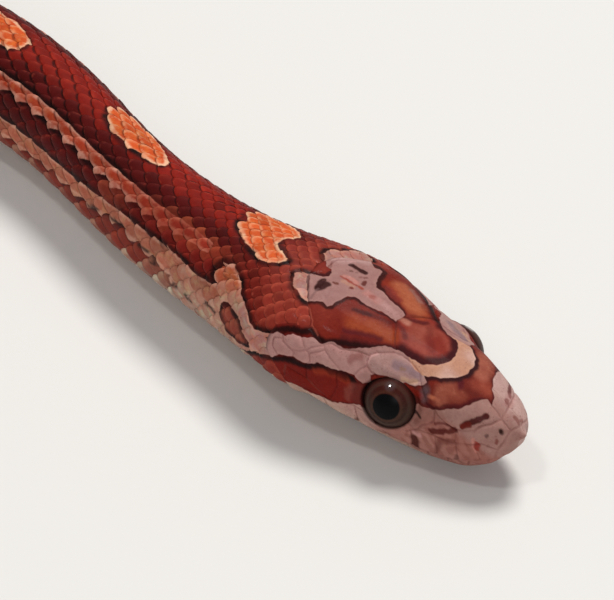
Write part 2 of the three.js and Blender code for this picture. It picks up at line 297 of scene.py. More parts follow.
snout_left = (
    (3.19, 0.14), (3.75, 0.97), (3.92, 1.62), (4.2, 2.5), (4.7, 3.5), (5.1, 3.9), (5.5, 4.15), (6.0, 4.4),
    (6.5, 4.65), (6.8, 5.2), (7.3, 5.8), (7.5, 6.5), (8.2, 7.4), (9.1, 8.0), (10.2, 7.4),
    (11.2, 8.2), (12.6, 8.9), (15, 9.7), (18, 10.2), (26, 10.6), (26, 22), (-1, 22), (-1, 0.14),
)
brow_left = (
    (10.83, 3.83), (9.92, 3.43), (9.48, 2.49), (8.65, 1.67), (7.91, 1.29), (7.4, 1.37), (7.03, 1.51),
    (6.49, 1.88), (6.5, 2.9), (7.0, 3.5), (8.04, 4.0), (9.12, 4.3), (10.1, 4.5), (10.6, 4.9), (11.2, 4.9),
)
stripe_left = mirrored(*head_stripe[:18]) + ((11.2, 4.9),) + mirrored(*head_stripe[29:])
pale_patches = (crown_mark, head_stripe, snout_right, snout_left, brow_left, stripe_left)
peach_band = (
    (8.45, -2.28), (7.49, -2.2), (6.62, -1.56), (6.24, -0.86), (6.26, 0.04), (6.71, 0.92), (7.24, 1.4),
    (7.9, 1.3), (7.0, 1.6), (6.35, 1.84), (5.47, 1.19), (5.04, 0.53), (4.87, -0.41), (5.08, -1.19),
    (5.66, -1.9), (6.56, -2.52), (6.99, -2.73), (7.6, -2.75),
)
frontal_shield = (
    (4.9, -0.35), (5.3, -1.65), (6.65, -2.6), (9.5, -2.35), (10.0, -1.8), (10.8, -0.6), (10.95, -0.1),
    (10.65, 0.6), (9.7, 1.8), (8.6, 1.9), (7.0, 1.6), (5.4, 0.9),
)
nape_blotch = (
    (19.9, -1.25), (20.2, -1.75), (20.9, -2.2), (21.4, -2.3), (22.0, -2.1), (22.9, -1.85), (23.7, -1.5),
    (24.2, -1.1), (24.9, -0.85), (25.5, -0.2), (25.3, 0.25), (25.9, 0.9), (26.0, 1.5), (25.8, 2.2),
    (25.0, 2.7), (23.8, 2.9), (22.5, 2.55), (21.7, 2.05), (21.1, 1.5), (21.5, 0.9), (21.8, 0.5),
    (21.7, 0.1), (21.7, -0.4), (21.1, -0.7), (20.5, -0.9),
)
second_blotch = (
    (34.6, 0.05), (35.5, -0.3), (36.7, -0.35), (38.0, -0.62), (39.4, -0.62), (41.2, -0.42), (42.6, -0.1),
    (43.4, 0.6), (43.7, 1.4), (43.4, 2.1), (42.0, 2.45), (40.0, 2.45), (38.2, 2.3), (36.6, 1.7),
    (35.4, 0.95), (34.7, 0.5),
)
third_blotch = (
    (54.1, -0.7), (54.6, -1.35), (55.6, -1.75), (57.5, -1.95), (60.0, -1.95), (62.0, -1.6), (63.2, -0.8),
    (63.3, 0.1), (62.2, 0.9), (60.0, 1.2), (57.5, 1.05), (55.6, 0.75), (54.5, 0.1),
)
neck_patch = (
    (17.0, -6.3), (17.3, -6.6), (17.8, -6.85), (18.5, -7.08), (19.0, -7.05), (19.5, -6.7), (19.85, -6.25),
    (20.3, -6.0), (20.9, -5.8), (21.2, -5.5), (21.5, -5.1), (21.6, -4.6), (22.0, -4.1), (22.5, -3.8),
    (23.0, -3.6), (23.5, -3.75), (23.85, -4.2), (24.3, -4.5), (24.0, -5.0), (23.6, -5.4), (23.6, -5.8),
    (24.1, -6.15), (24.9, -5.8), (25.5, -5.55), (26.5, -5.25), (27.6, -5.0), (28.5, -7.2), (28.0, -9.6),
    (22.0, -10.5), (18.9, -8.75), (18.1, -8.5), (17.5, -8.3), (16.9, -8.1),
)
neck_wedge = (
    (19.1, -8.6), (19.5, -8.1), (20.0, -7.8), (20.25, -7.5), (20.4, -7.0), (21.0, -6.6), (21.5, -6.3),
    (22.0, -6.1), (22.5, -6.2), (22.8, -6.5), (22.85, -7.0), (22.7, -7.5), (22.4, -8.0), (22.2, -8.5),
    (21.4, -8.9), (20.2, -9.0),
)
stripe_link = ((34.7, -3.3), (36.8, -3.5), (38.3, -4.05), (37.6, -5.1), (36.4, -5.2), (35.1, -4.9))
flank_dashes = (
    ((23.4, -7.5), (23.9, -7.2), (24.3, -7.2)), ((26.1, -8.0), (26.8, -7.85)),
    ((27.7, -7.5), (28.4, -7.8)), ((29.7, -6.75), (30.5, -7.0)), ((30.6, -6.2), (32.0, -6.3)),
    ((34.0, -5.75), (35.6, -5.95)), ((37.3, -6.25), (38.9, -6.8)),
)
spine_turn = profile(
    (20, 0), (23, 0.05), (26, 0.3), (28, 0.7), (30, 0.9), (34, 1.0), (40, 0.88), (45, 0.73), (50, 0.38),
    (54, -0.05), (58, -0.35), (66, -0.2), (76, 0), (800, 0),
)
flank_top = profile(
    (24, 0.54), (26, 0.58), (28, 0.56), (34, 0.575), (38, 0.61), (40, 0.635), (45, 0.675), (50, 0.685),
    (60, 0.68), (800, 0.66),
)
flank_low = profile(
    (24, 0.76), (27, 0.75), (30, 0.72), (33, 0.7), (34.5, 0.67), (36, 0.7), (38, 0.745), (42, 0.78),
    (45, 0.8), (50, 0.84), (60, 0.84), (800, 0.82),
)

draw = np.random.default_rng(41)
blotches = []
place = 81.0
while place < 790:
    size = float(belly_edge(place)) / 10.0
    if not vent < place < vent + 15:
        long = (4.6 + draw.uniform(-0.5, 0.6)) * min(size, 1.25)
        wide = (1.75 + draw.uniform(-0.15, 0.3)) * size
        shift = draw.uniform(-0.45, 0.45) * size
        blotches.append((place, shift, long, wide))
    place += 17.0 + 3.0 * min(size, 1.3) + draw.uniform(-1, 1)


def blotch_distance(back, arc):
    """How deep a place lies in one of the orange saddle marks down the back, in mm."""
    best = deepest(back, arc, (nape_blotch, second_blotch, third_blotch))
    for place, shift, long, wide in blotches:
        near = np.abs(back - place) < long + 3
        x = np.abs((back[near] - place) / long) ** 2.6
        y = np.abs((arc[near] - shift) / wide) ** 2.2
        best[near] = np.maximum(best[near], (1 - (x + y) ** 0.42) * wide)
    return best


# Rows of scales: the row down the spine, and eighteen beside it on each side at the nape. Pairs of
# rows end along the neck, the rear of the body and the tail, and the lowest rows are the widest.
row_count = 18
stripe_row = 7
row_girths = (1, 1, 1, 1, 1, 1, 1, 1.05, 1.1, 1.1, 1.2, 1.25, 1.3, 1.35, 1.5, 1.6, 1.65, 1.7)
rows_end = {
    9: (19, 25), 10: (19, 25), 12: (24, 32), 13: (24, 32), 5: (470, 500), 6: (470, 500), 15: (580, 610),
    16: (580, 610), 3: (682, 700), 4: (682, 700), 11: (716, 734), 14: (716, 734), 2: (746, 760),
    7: (746, 760),
}


def row_weight(row, back):
    """How wide a row is: full, or narrowing to nothing where it ends."""
    full = row_girths[row - 1] if row else 1.0
    if row not in rows_end:
        return np.full(np.shape(back), full)
    start, end = rows_end[row]
    return full * (1 - smooth(start, end, np.asarray(back, float)))


def row_arc(row, back, side):
    """How far a row's middle lies from the spine row on one side (1 is left), and the room between rows."""
    back = np.asarray(back, float)
    centre = np.zeros(back.shape)
    before = np.ones(back.shape)
    mine = np.zeros(back.shape)
    for n in range(1, row_count + 1):
        weight = row_weight(n, back)
        centre = centre + (before + weight) / 2
        before = weight
        if n == row:
            mine = centre
    unit = (belly_edge(back) - side * spine_turn(back)) * 0.985 / (centre + 0.35 * before)
    return mine * unit, unit


def pigment(red, green, blue):
    """A colour from its three display levels, as the shaders take it."""
    level = np.array([red, green, blue]) / 255
    return np.where(level <= 0.04045, level / 12.92, ((level + 0.055) / 1.055) ** 2.4)


back_red = pigment(136, 29, 19)
maroon = pigment(78, 14, 13)
border_black = pigment(26, 7, 7)
nape_red = pigment(144, 52, 40)
saddle_orange = pigment(210, 92, 42)
saddle_rim = pigment(238, 176, 132)
stripe_salmon = pigment(164, 66, 42)
stripe_rim = pigment(192, 120, 96)
flank_red = pigment(132, 42, 27)
flank_pink = pigment(150, 88, 70)
belly_cream = pigment(196, 164, 146)
crown_pink = pigment(168, 124, 117)
stripe_pink = pigment(184, 137, 130)


def mix(a, b, share):
    """Colours between a and b, by a share for each place."""
    return a + (b - a) * np.asarray(share)[..., None]


def stroke(back, arc, line, width, softness):
    """How well a stroke of the brush along a line covers each place, from 0 to 1."""
    return 1 - smooth(width, width + softness, line_distance(back, arc, line))


def body_paint(back, arc):
    """The ground's and the mark's colour, how deep in a mark a place lies, how black its rim is, and ink."""
    edge = belly_edge(back)
    from_spine = arc - spine_turn(back)
    side = np.where(from_spine < 0, -1.0, 1.0)
    depth = np.abs(from_spine)
    reach = edge - side * spine_turn(back)
    share = depth / reach
    middle = np.zeros(back.shape)
    unit = np.zeros(back.shape)
    for hand in (1, -1):
        here = side == hand
        middle[here], unit[here] = row_arc(stripe_row, back[here], hand)
    body = smooth(20.5, 26, back)
    low_side = smooth(0.36, 0.72, depth / (middle - unit))
    ground = np.zeros(back.shape + (3,)) + nape_red
    ground = mix(ground, pigment(108, 26, 19), smooth(19.2, 22.6, back + 0.3 * np.abs(arc)))
    ground = mix(ground, mix(back_red, maroon, low_side), body)
    between = smooth(-0.05, 0.05, depth - middle) * smooth(23, 26, back)
    ground = mix(ground, mix(pigment(118, 28, 22), maroon * 1.2, smooth(30, 36, back)), between)
    below = smooth(-0.06, 0.06, depth - flank_low(back) * reach) * smooth(26, 29, back)
    flank = mix(flank_pink, flank_red, smooth(29.5, 32.5, back))
    cream_from = 0.84 + 0.08 * smooth(32, 36, back)
    ground = mix(ground, mix(flank, belly_cream, smooth(cream_from, cream_from + 0.08, share)), below)
    throat = smooth(0.88, 0.95, np.abs(arc) / edge) * (1 - smooth(24, 30, back))
    ground = mix(ground, belly_cream, throat)
    wedge = deepest(back, arc, (neck_wedge, mirrored(*neck_wedge)))
    ground = mix(ground, pigment(150, 66, 50), smooth(-0.1, 0.15, wedge))
    link = smooth(-0.4, 0.5, patch_distance(back, arc, stripe_link))
    ground = mix(ground, pigment(140, 56, 40), link * 0.8)
    glow = hump(back - 27.6, 3.4) * smooth(2.1, 0.8, np.abs(depth - middle) / unit)
    ground = mix(ground, pigment(166, 70, 46), glow * 0.75)

    saddle = blotch_distance(back, arc)
    stripe = np.where(back > 25.4, unit * 0.88 - np.abs(depth - middle), -9)
    second = np.minimum(depth - flank_top(back) * reach, flank_low(back) * reach - depth)
    second = np.where(back > 23.5, second, -9)
    head = np.full(back.shape, -9.0)
    near_head = back < 30
    patches = (head_stripe, stripe_left, crown_mark, neck_patch, mirrored(*neck_patch))
    head[near_head] = deepest(back[near_head], arc[near_head], patches)
    head = np.minimum(head, -wedge)
    second = np.minimum(second, -wedge)
    pale = np.maximum.reduce([saddle, stripe, second, head])
    mark = np.zeros(ground.shape) + stripe_salmon
    second_tone = mix(pigment(178, 112, 90), pigment(178, 104, 80), smooth(33, 38, back))
    mark = mix(mark, second_tone, smooth(-0.1, 0.1, second - stripe))
    stripe_start = (1 - smooth(29, 42, back)) * smooth(-0.1, 0.1, stripe - np.maximum(second, head))
    mark = mix(mark, pigment(142, 48, 35), stripe_start)
    mark = mix(mark, saddle_orange, smooth(-0.2, 0.2, saddle - np.maximum(stripe, head)))
    peach = mix(pigment(176, 88, 60), pigment(196, 152, 132), smooth(4.4, 6.2, np.abs(arc)))
    pink = mix(stripe_pink, peach, smooth(20.2, 22, back))
    mark = mix(mark, pink, smooth(-0.1, 0.1, head - np.maximum.reduce([stripe, second, saddle])))
    low_tone = smooth(0.7, 0.86, share) * (1 - smooth(28, 32, back)) * smooth(20, 22, back)
    mark = mix(mark, pigment(188, 158, 142), low_tone)
    outline = np.where(second > np.maximum.reduce([stripe, saddle, head]), 0.85, 1.0)
    # The saddles' black rim is their own colour; it is painted weaker on the left side, where the light
    # falls: painted light.
    painted_lit_edge = smooth(-0.3, 1.0, arc) * smooth(-0.2, 0.2, saddle - np.maximum(stripe, head))
    on_stripe = smooth(-0.2, 0.2, stripe - np.maximum.reduce([second, saddle, head]))
    faint = (1 - smooth(30, 37, back)) * on_stripe
    outline = outline * (1 - below * 0.6) * (1 - throat) * (1 - 0.6 * painted_lit_edge)
    outline = outline * (1 - 0.8 * faint) * (1 - link)
    ink = np.zeros(back.shape)
    near = (back > 22) & (back < 40)
    for line in flank_dashes:
        for way in (line, mirrored(*line)):
            ink[near] = np.maximum(ink[near], stroke(back[near], arc[near], way, 0.07, 0.16))
    return ground, mark, pale, outline, ink


# The seams between the shields of the head and between the lip scales. They are given for the right
# side, and the left side has the same.
right_seams = (
    ((0.62, -1.05), (0.65, -1.5), (0.77, -2.28), (1.0, -2.97), (1.1, -3.6), (1.2, -4.2)),
    ((1.46, -1.05), (1.77, -1.82), (2.29, -2.5), (2.6, -3.12), (3.08, -3.6), (3.7, -4.12)),
    ((1.1, -3.2), (2.0, -3.6), (2.7, -4.4), (3.7, -5.2), (4.4, -5.6), (5.2, -5.9), (6.3, -6.4),
     (7.0, -7.1)),
    ((3.7, -4.12), (3.66, -4.7), (3.7, -5.2)),
    ((3.7, -4.12), (4.3, -4.3), (5.0, -4.25), (5.4, -3.95), (5.9, -4.05)),
    ((5.3, -4.1), (5.2, -4.8), (5.5, -5.3), (5.9, -5.7), (6.2, -6.3)),
    ((5.9, -4.05), (6.6, -3.4), (6.9, -3.1), (7.2, -2.7), (8.0, -2.48), (8.8, -2.48), (9.4, -2.68),
     (10.3, -3.4), (10.6, -3.8)),
    ((10.6, -3.8), (10.62, -4.2), (10.45, -4.6), (9.9, -4.75)),
    ((6.9, -3.1), (7.5, -3.65), (8.1, -3.92), (8.6, -4.1), (9.0, -4.6), (9.4, -4.75), (9.9, -4.65)),
    ((9.4, -2.4), (9.65, -2.25), (10.0, -1.8), (10.4, -1.2), (10.8, -0.6)),
    ((10.5, -4.65), (10.8, -5.05), (11.1, -5.9), (10.7, -6.02), (10.2, -5.7), (9.9, -5.2)),
    ((10.6, -3.9), (11.3, -4.1), (12.5, -4.75), (13.2, -4.85), (13.6, -5.25), (13.4, -5.5), (12.8, -5.75),
     (12.0, -5.95), (11.1, -5.9)),
    ((13.6, -5.3), (14.2, -4.95), (14.6, -4.85), (15.0, -4.6), (15.5, -4.1), (16.4, -3.4), (16.9, -2.8),
     (17.3, -2.2), (17.75, -1.5), (17.3, -0.7)),
    ((13.6, -5.3), (14.3, -5.9), (14.6, -6.3), (15.0, -5.95), (15.35, -5.6)),
    ((13.4, -5.5), (13.9, -6.0), (14.3, -6.35), (14.1, -6.85), (14.35, -7.25)),
    ((14.6, -6.3), (14.3, -6.35)),
    ((15.4, -5.7), (16.1, -5.7), (16.6, -6.2), (16.4, -6.65), (15.6, -6.85), (15.0, -6.6), (14.6, -6.3)),
    ((15.6, -6.85), (15.35, -6.95), (15.45, -7.45), (16.6, -7.75), (17.1, -7.35), (17.15, -6.75),
     (16.6, -6.5)),
    ((12.2, -6.2), (12.0, -7.3), (12.5, -8.9)),
    ((14.3, -7.4), (14.2, -8.3), (13.1, -8.75), (12.6, -9.0)),
    ((14.2, -8.3), (15.9, -8.3), (16.0, -9.2)),
    ((10.1, -7.7), (11.1, -8.05), (12.5, -9.0), (14.2, -9.3), (15.4, -9.7)),
)
middle_seams = (
    ((0.62, -1.05), (1.46, -1.05), (1.85, -0.92), (2.4, -0.9)),
    ((0.62, -1.05), (0.4, -0.2), (0.5, 0.9), (0.9, 2.0), (1.15, 3.2)),
    ((1.46, -1.0), (1.54, -0.43), (1.85, 0.65), (2.23, 1.57), (2.7, 2.6), (3.6, 3.9)),
)
lip_edges = (0.75, 2.2, 3.6, 5.0, 6.7, 8.6, 10.7, 13.0, 15.4)
jaw_edges = (1.4, 2.7, 4.1, 5.5, 7.0, 8.8, 10.8, 13.0, 15.2)
lip_tops = profile((0, -2.6), (1.1, -3.7), (2.2, -4.6), (3.5, -5.2), (5.2, -5.9), (6.4, -6.4), (8.3, -8.2),
                   (10.1, -7.7), (12.4, -8.9), (15.4, -9.7))


def arc_at_height(back, height):
    """The arc, on either side, where the pelt lies at this height."""
    row = int(np.interp(back, pelt_places, np.arange(len(pelt_places))))
    shares = np.linspace(0, half_girths[row], pelt_steps + 1)
    start = int(np.argmax(pelt_up[row]))
    return float(np.interp(-height, -pelt_up[row][start:], shares[start:]))


def lip_height(back):
    """Where the line of the mouth runs on the skin: at the front a little below that of the solids."""
    return mouth_height(back) - 0.3 * (1 - smooth(2, 9, back))


lip_seams = []
for place in lip_edges[:-1]:
    low = arc_at_height(place - 0.25, float(lip_height(place)))
    lip_seams.append(((place, float(lip_tops(place))), (place - 0.25, -low)))
for place in jaw_edges[:-1]:
    low = arc_at_height(place, float(lip_height(place)))
    lip_seams.append(((place, -low), (place + 0.35, -low - 1.5)))
jaw_low = tuple((place, -arc_at_height(place, float(lip_height(place))) - 1.5) for place in jaw_edges)
seam_lines = list(middle_seams)
for line in right_seams[2:] + tuple(lip_seams) + (jaw_low,):
    seam_lines.append(line)
    seam_lines.append(mirrored(*line))
seam_lines += right_seams[:2]

# The painting of the head, stroke by stroke: the line, its half width and its soft edge in mm, the
# colour and how strong it is. The strokes on both sides are given for the right.
parietal_red = pigment(124, 36, 24)
line_dark = pigment(54, 14, 16)
ground_strokes = (
    (((10.3, -1.85), (11.5, -2.15), (12.9, -2.7)), 0.2, 0.75, pigment(160, 71, 39), 0.9),
    (((12.6, -2.1), (13.6, -2.6)), 0.1, 0.7, pigment(150, 54, 32), 0.5),
    (((11.0, -1.0), (12.3, -1.48), (13.3, -1.9)), 0.04, 0.3, pigment(84, 22, 20), 0.6),
    (((12.4, -1.5), (13.5, -1.98)), 0.05, 0.2, pigment(60, 14, 14), 0.7),
    (((10.7, -2.55), (11.9, -3.1), (12.9, -3.65)), 0.05, 0.32, pigment(88, 24, 30), 0.8),
    (((10.9, -3.0), (12.2, -3.75), (13.2, -4.2)), 0.08, 0.3, pigment(122, 34, 24), 0.6),
    (((9.1, -2.42), (9.8, -2.75), (10.7, -3.35), (11.8, -3.95), (12.8, -4.5), (13.5, -5.05),
      (14.1, -5.12), (14.9, -5.0), (15.5, -5.45), (16.1, -5.55), (16.7, -5.95), (17.4, -6.35),
      (18.2, -6.7)), 0.08, 0.32, border_black * 1.3, 0.95),
    (((9.6, -2.4), (10.6, -3.0), (11.8, -3.6), (12.8, -4.1)), 0.05, 0.3, pigment(70, 20, 24), 0.5),
    (((14.3, -4.95), (15.0, -4.6), (15.5, -4.1), (16.4, -3.45)), 0.02, 0.07, pigment(190, 96, 78), 0.55),
    (((11.0, -6.0), (12.0, -6.12), (12.8, -6.4), (13.6, -6.78), (14.3, -7.35), (15.2, -7.5), (16.0, -7.8),
      (16.7, -8.15), (17.5, -8.5), (18.2, -8.7)), 0.09, 0.26, border_black * 1.3, 0.97),
    (((11.3, -6.3), (12.6, -6.65), (13.6, -7.2)), 0.06, 0.3, pigment(160, 60, 36), 0.55),
    (((10.9, -6.4), (11.2, -7.0), (11.2, -7.6)), 0.08, 0.3, pigment(150, 92, 80), 0.35),
    (((10.5, -6.2), (10.6, -7.2)), 0.2, 0.4, pigment(100, 46, 40), 0.6),
    (((14.2, -8.3), (13.0, -8.75)), 0.02, 0.08, pigment(150, 84, 72), 0.4),
    (((15.9, -8.3), (16.0, -9.3)), 0.02, 0.08, pigment(150, 84, 72), 0.4),
    (((9.5, -1.3), (10.0, -0.9), (10.75, -0.7)), 0.06, 0.24, pigment(96, 30, 28), 0.75),
    (((9.4, -2.35), (9.65, -2.22), (10.0, -1.8), (10.4, -1.2), (10.85, -0.55), (10.95, -0.1)), 0.02, 0.09,
      pigment(110, 44, 34), 0.5),
    (((5.3, -3.3), (5.95, -3.5)), 0.02, 0.2, pigment(214, 124, 88), 0.7),
    (((4.6, -1.55), (4.75, -1.35)), 0.08, 0.3, pigment(84, 20, 30), 0.8),
    (((5.2, -2.9), (5.7, -2.6), (6.2, -2.9)), 0.1, 0.5, pigment(120, 40, 28), 0.5),
    (((3.3, -0.4), (4.0, -0.6)), 0.15, 0.5, pigment(162, 76, 56), 0.5),
    (((6.5, -3.95), (7.3, -4.0), (8.0, -4.15)), 0.12, 0.2, pigment(132, 34, 22), 0.9),
    (((6.3, -3.35), (6.75, -2.85), (7.0, -2.7)), 0.12, 0.3, pigment(70, 44, 44), 0.8),
    (((6.3, -3.4), (6.2, -3.9)), 0.1, 0.4, pigment(106, 84, 88), 0.5),
    (((5.1, -3.3), (5.3, -2.7), (5.1, -2.2)), 0.2, 0.6, pigment(166, 92, 72), 0.7),
    (((4.2, -1.9), (4.6, -2.4)), 0.1, 0.5, pigment(160, 84, 64), 0.5),
    (((3.6, -1.2), (4.2, -1.5)), 0.05, 0.3, pigment(96, 30, 24), 0.5),
    (((11.6, -6.15), (12.6, -6.5)), 0.1, 0.3, pigment(70, 16, 13), 0.7),
)
crown_strokes = (
    (((4.3, 0.4), (4.5, 0.9), (4.9, 1.3)), 0.25, 0.6, pigment(172, 98, 78), 0.8),
    (((10.9, 1.6), (11.8, 2.1), (12.9, 2.7)), 0.3, 0.8, pigment(184, 104, 72), 0.75),
    (((12.2, 1.1), (13.2, 1.5)), 0.15, 0.4, pigment(142, 56, 50), 0.6),
    (((11.2, 2.6), (12.4, 3.2)), 0.05, 0.3, pigment(150, 110, 104), 0.5),
    (((7.6, -0.8), (8.4, -0.2), (9.0, 0.7)), 0.05, 0.4, pigment(112, 34, 28), 0.5),
    (((6.9, 0.2), (7.6, 0.7), (8.3, 1.0)), 0.05, 0.35, pigment(164, 80, 66), 0.5),
    (((7.3, -1.5), (8.0, -1.2), (8.8, -1.4)), 0.05, 0.35, pigment(162, 74, 58), 0.5),
    (((13.3, 0.98), (13.8, 1.08), (14.2, 1.65), (14.45, 2.35), (14.7, 2.95), (15.1, 3.1), (15.7, 3.1)),
      0.1, 0.26, border_black * 1.6, 0.85),
    (((13.4, -1.1), (14.1, -1.12), (14.45, -1.6), (14.62, -2.2), (14.68, -2.75), (14.95, -2.98),
      (15.5, -2.95), (16.0, -3.22), (16.4, -3.45)), 0.05, 0.2, border_black * 1.8, 0.85),
    (((16.95, -3.4), (17.5, -3.12), (18.05, -3.0), (18.55, -2.5)), 0.04, 0.16, line_dark, 0.8),
    (((16.9, -0.25), (16.9, -0.75), (17.45, -1.0), (18.0, -1.25), (18.6, -1.45)), 0.07, 0.2, line_dark,
      0.9),
    (((10.9, -0.66), (11.6, -0.76), (12.7, -1.07), (13.4, -1.08)), 0.03, 0.14, line_dark, 0.85),
    (((10.9, 0.46), (11.8, 0.68), (13.0, 0.92)), 0.03, 0.14, line_dark, 0.75),
    (((9.4, 0.95), (9.9, 0.55), (10.5, 0.1)), 0.08, 0.2, pigment(96, 30, 28), 0.8),
    (((9.1, 1.75), (9.7, 1.7), (10.2, 1.2), (10.65, 0.6), (10.92, 0.2)), 0.02, 0.1, pigment(110, 44, 34),
      0.5),
    (((10.25, -0.12), (10.9, -0.1)), 0.1, 0.3, pigment(190, 126, 106), 0.8),
    (((9.2, -2.15), (8.2, -2.1), (7.5, -1.98), (6.75, -1.25), (6.42, -0.6), (6.42, 0.0), (6.62, 0.5),
      (7.0, 1.0), (7.5, 1.45), (8.7, 1.6)), 0.1, 0.5, pigment(58, 14, 20), 0.95),
    (((6.95, -2.8), (6.6, -2.6), (6.0, -2.2), (5.45, -1.85), (5.02, -1.3), (4.84, -0.7), (4.8, -0.2),
      (4.9, 0.45), (5.2, 1.0), (5.75, 1.4), (6.4, 1.85)), 0.08, 0.24, pigment(44, 14, 20), 0.95),
    (((5.95, -4.12), (5.4, -4.0), (5.0, -3.75), (4.77, -3.3), (4.2, -2.85), (3.58, -2.12), (3.4, -1.6),
      (2.95, -1.08), (2.38, -0.9), (2.55, -0.43), (3.1, 0.26), (3.7, 1.34), (3.98, 1.8), (4.4, 2.6)),
      0.06, 0.2, pigment(80, 22, 24), 0.9),
)
mark_strokes = (
    (((7.2, -2.85), (7.9, -2.95), (8.8, -3.3)), 0.1, 0.4, pigment(128, 106, 116), 0.6),
    (((7.15, -3.3), (7.5, -3.55), (8.0, -3.8)), 0.04, 0.22, pigment(208, 168, 136), 0.7),
    (((8.2, -3.15), (8.4, -3.25)), 0.05, 0.16, pigment(150, 112, 84), 0.6),
    (((10.3, -3.5), (10.52, -3.85), (10.5, -4.3)), 0.05, 0.14, pigment(214, 166, 160), 0.6),
    (((11.1, -4.3), (11.5, -4.7), (11.6, -5.0)), 0.06, 0.3, pigment(136, 74, 70), 0.55),
    (((3.7, -4.14), (4.3, -4.28), (4.77, -4.58), (5.08, -4.92)), 0.03, 0.09, pigment(96, 32, 28), 0.85),
    (((3.72, -4.16), (4.15, -4.66), (4.6, -5.04), (5.0, -5.43), (5.28, -5.64)), 0.1, 0.14,
      pigment(84, 22, 18), 0.9),
    (((3.7, -5.15), (4.3, -5.58), (4.6, -5.97), (4.77, -6.5), (4.83, -7.05), (4.77, -7.5)), 0.06, 0.24,
      pigment(104, 52, 42), 0.6),
    (((6.3, -7.2), (6.3, -8.1)), 0.2, 0.24, pigment(76, 30, 26), 0.95),
    (((6.0, -6.58), (6.4, -6.75)), 0.05, 0.2, pigment(206, 150, 146), 0.6),
    (((2.23, -3.85), (2.25, -4.25)), 0.1, 0.16, pigment(140, 36, 28), 0.85),
    (((2.5, -3.7), (2.55, -4.3), (2.3, -4.6)), 0.03, 0.12, pigment(206, 132, 120), 0.6),
    (((3.45, -6.15), (3.48, -6.4)), 0.06, 0.2, pigment(96, 58, 54), 0.7),
    (((3.3, -6.95), (3.3, -7.1)), 0.06, 0.25, pigment(110, 70, 62), 0.5),
    (((1.1, -2.45), (1.2, -2.7)), 0.03, 0.12, pigment(120, 52, 44), 0.8),
    (((1.72, -2.66), (1.8, -2.82)), 0.04, 0.12, pigment(96, 60, 58), 0.8),
    (((10.5, -9.0), (10.6, -9.15)), 0.08, 0.14, pigment(84, 48, 40), 0.7),
    (((8.3, -8.4), (8.8, -8.8)), 0.15, 0.3, pigment(140, 90, 78), 0.6),
    (((5.0, -4.2), (5.8, -4.6), (6.1, -5.4), (6.5, -6.2)), 0.2, 0.5, pigment(138, 94, 84), 0.6),
    (((6.15, -5.25), (6.7, -5.3)), 0.05, 0.14, pigment(44, 20, 18), 0.9),
)
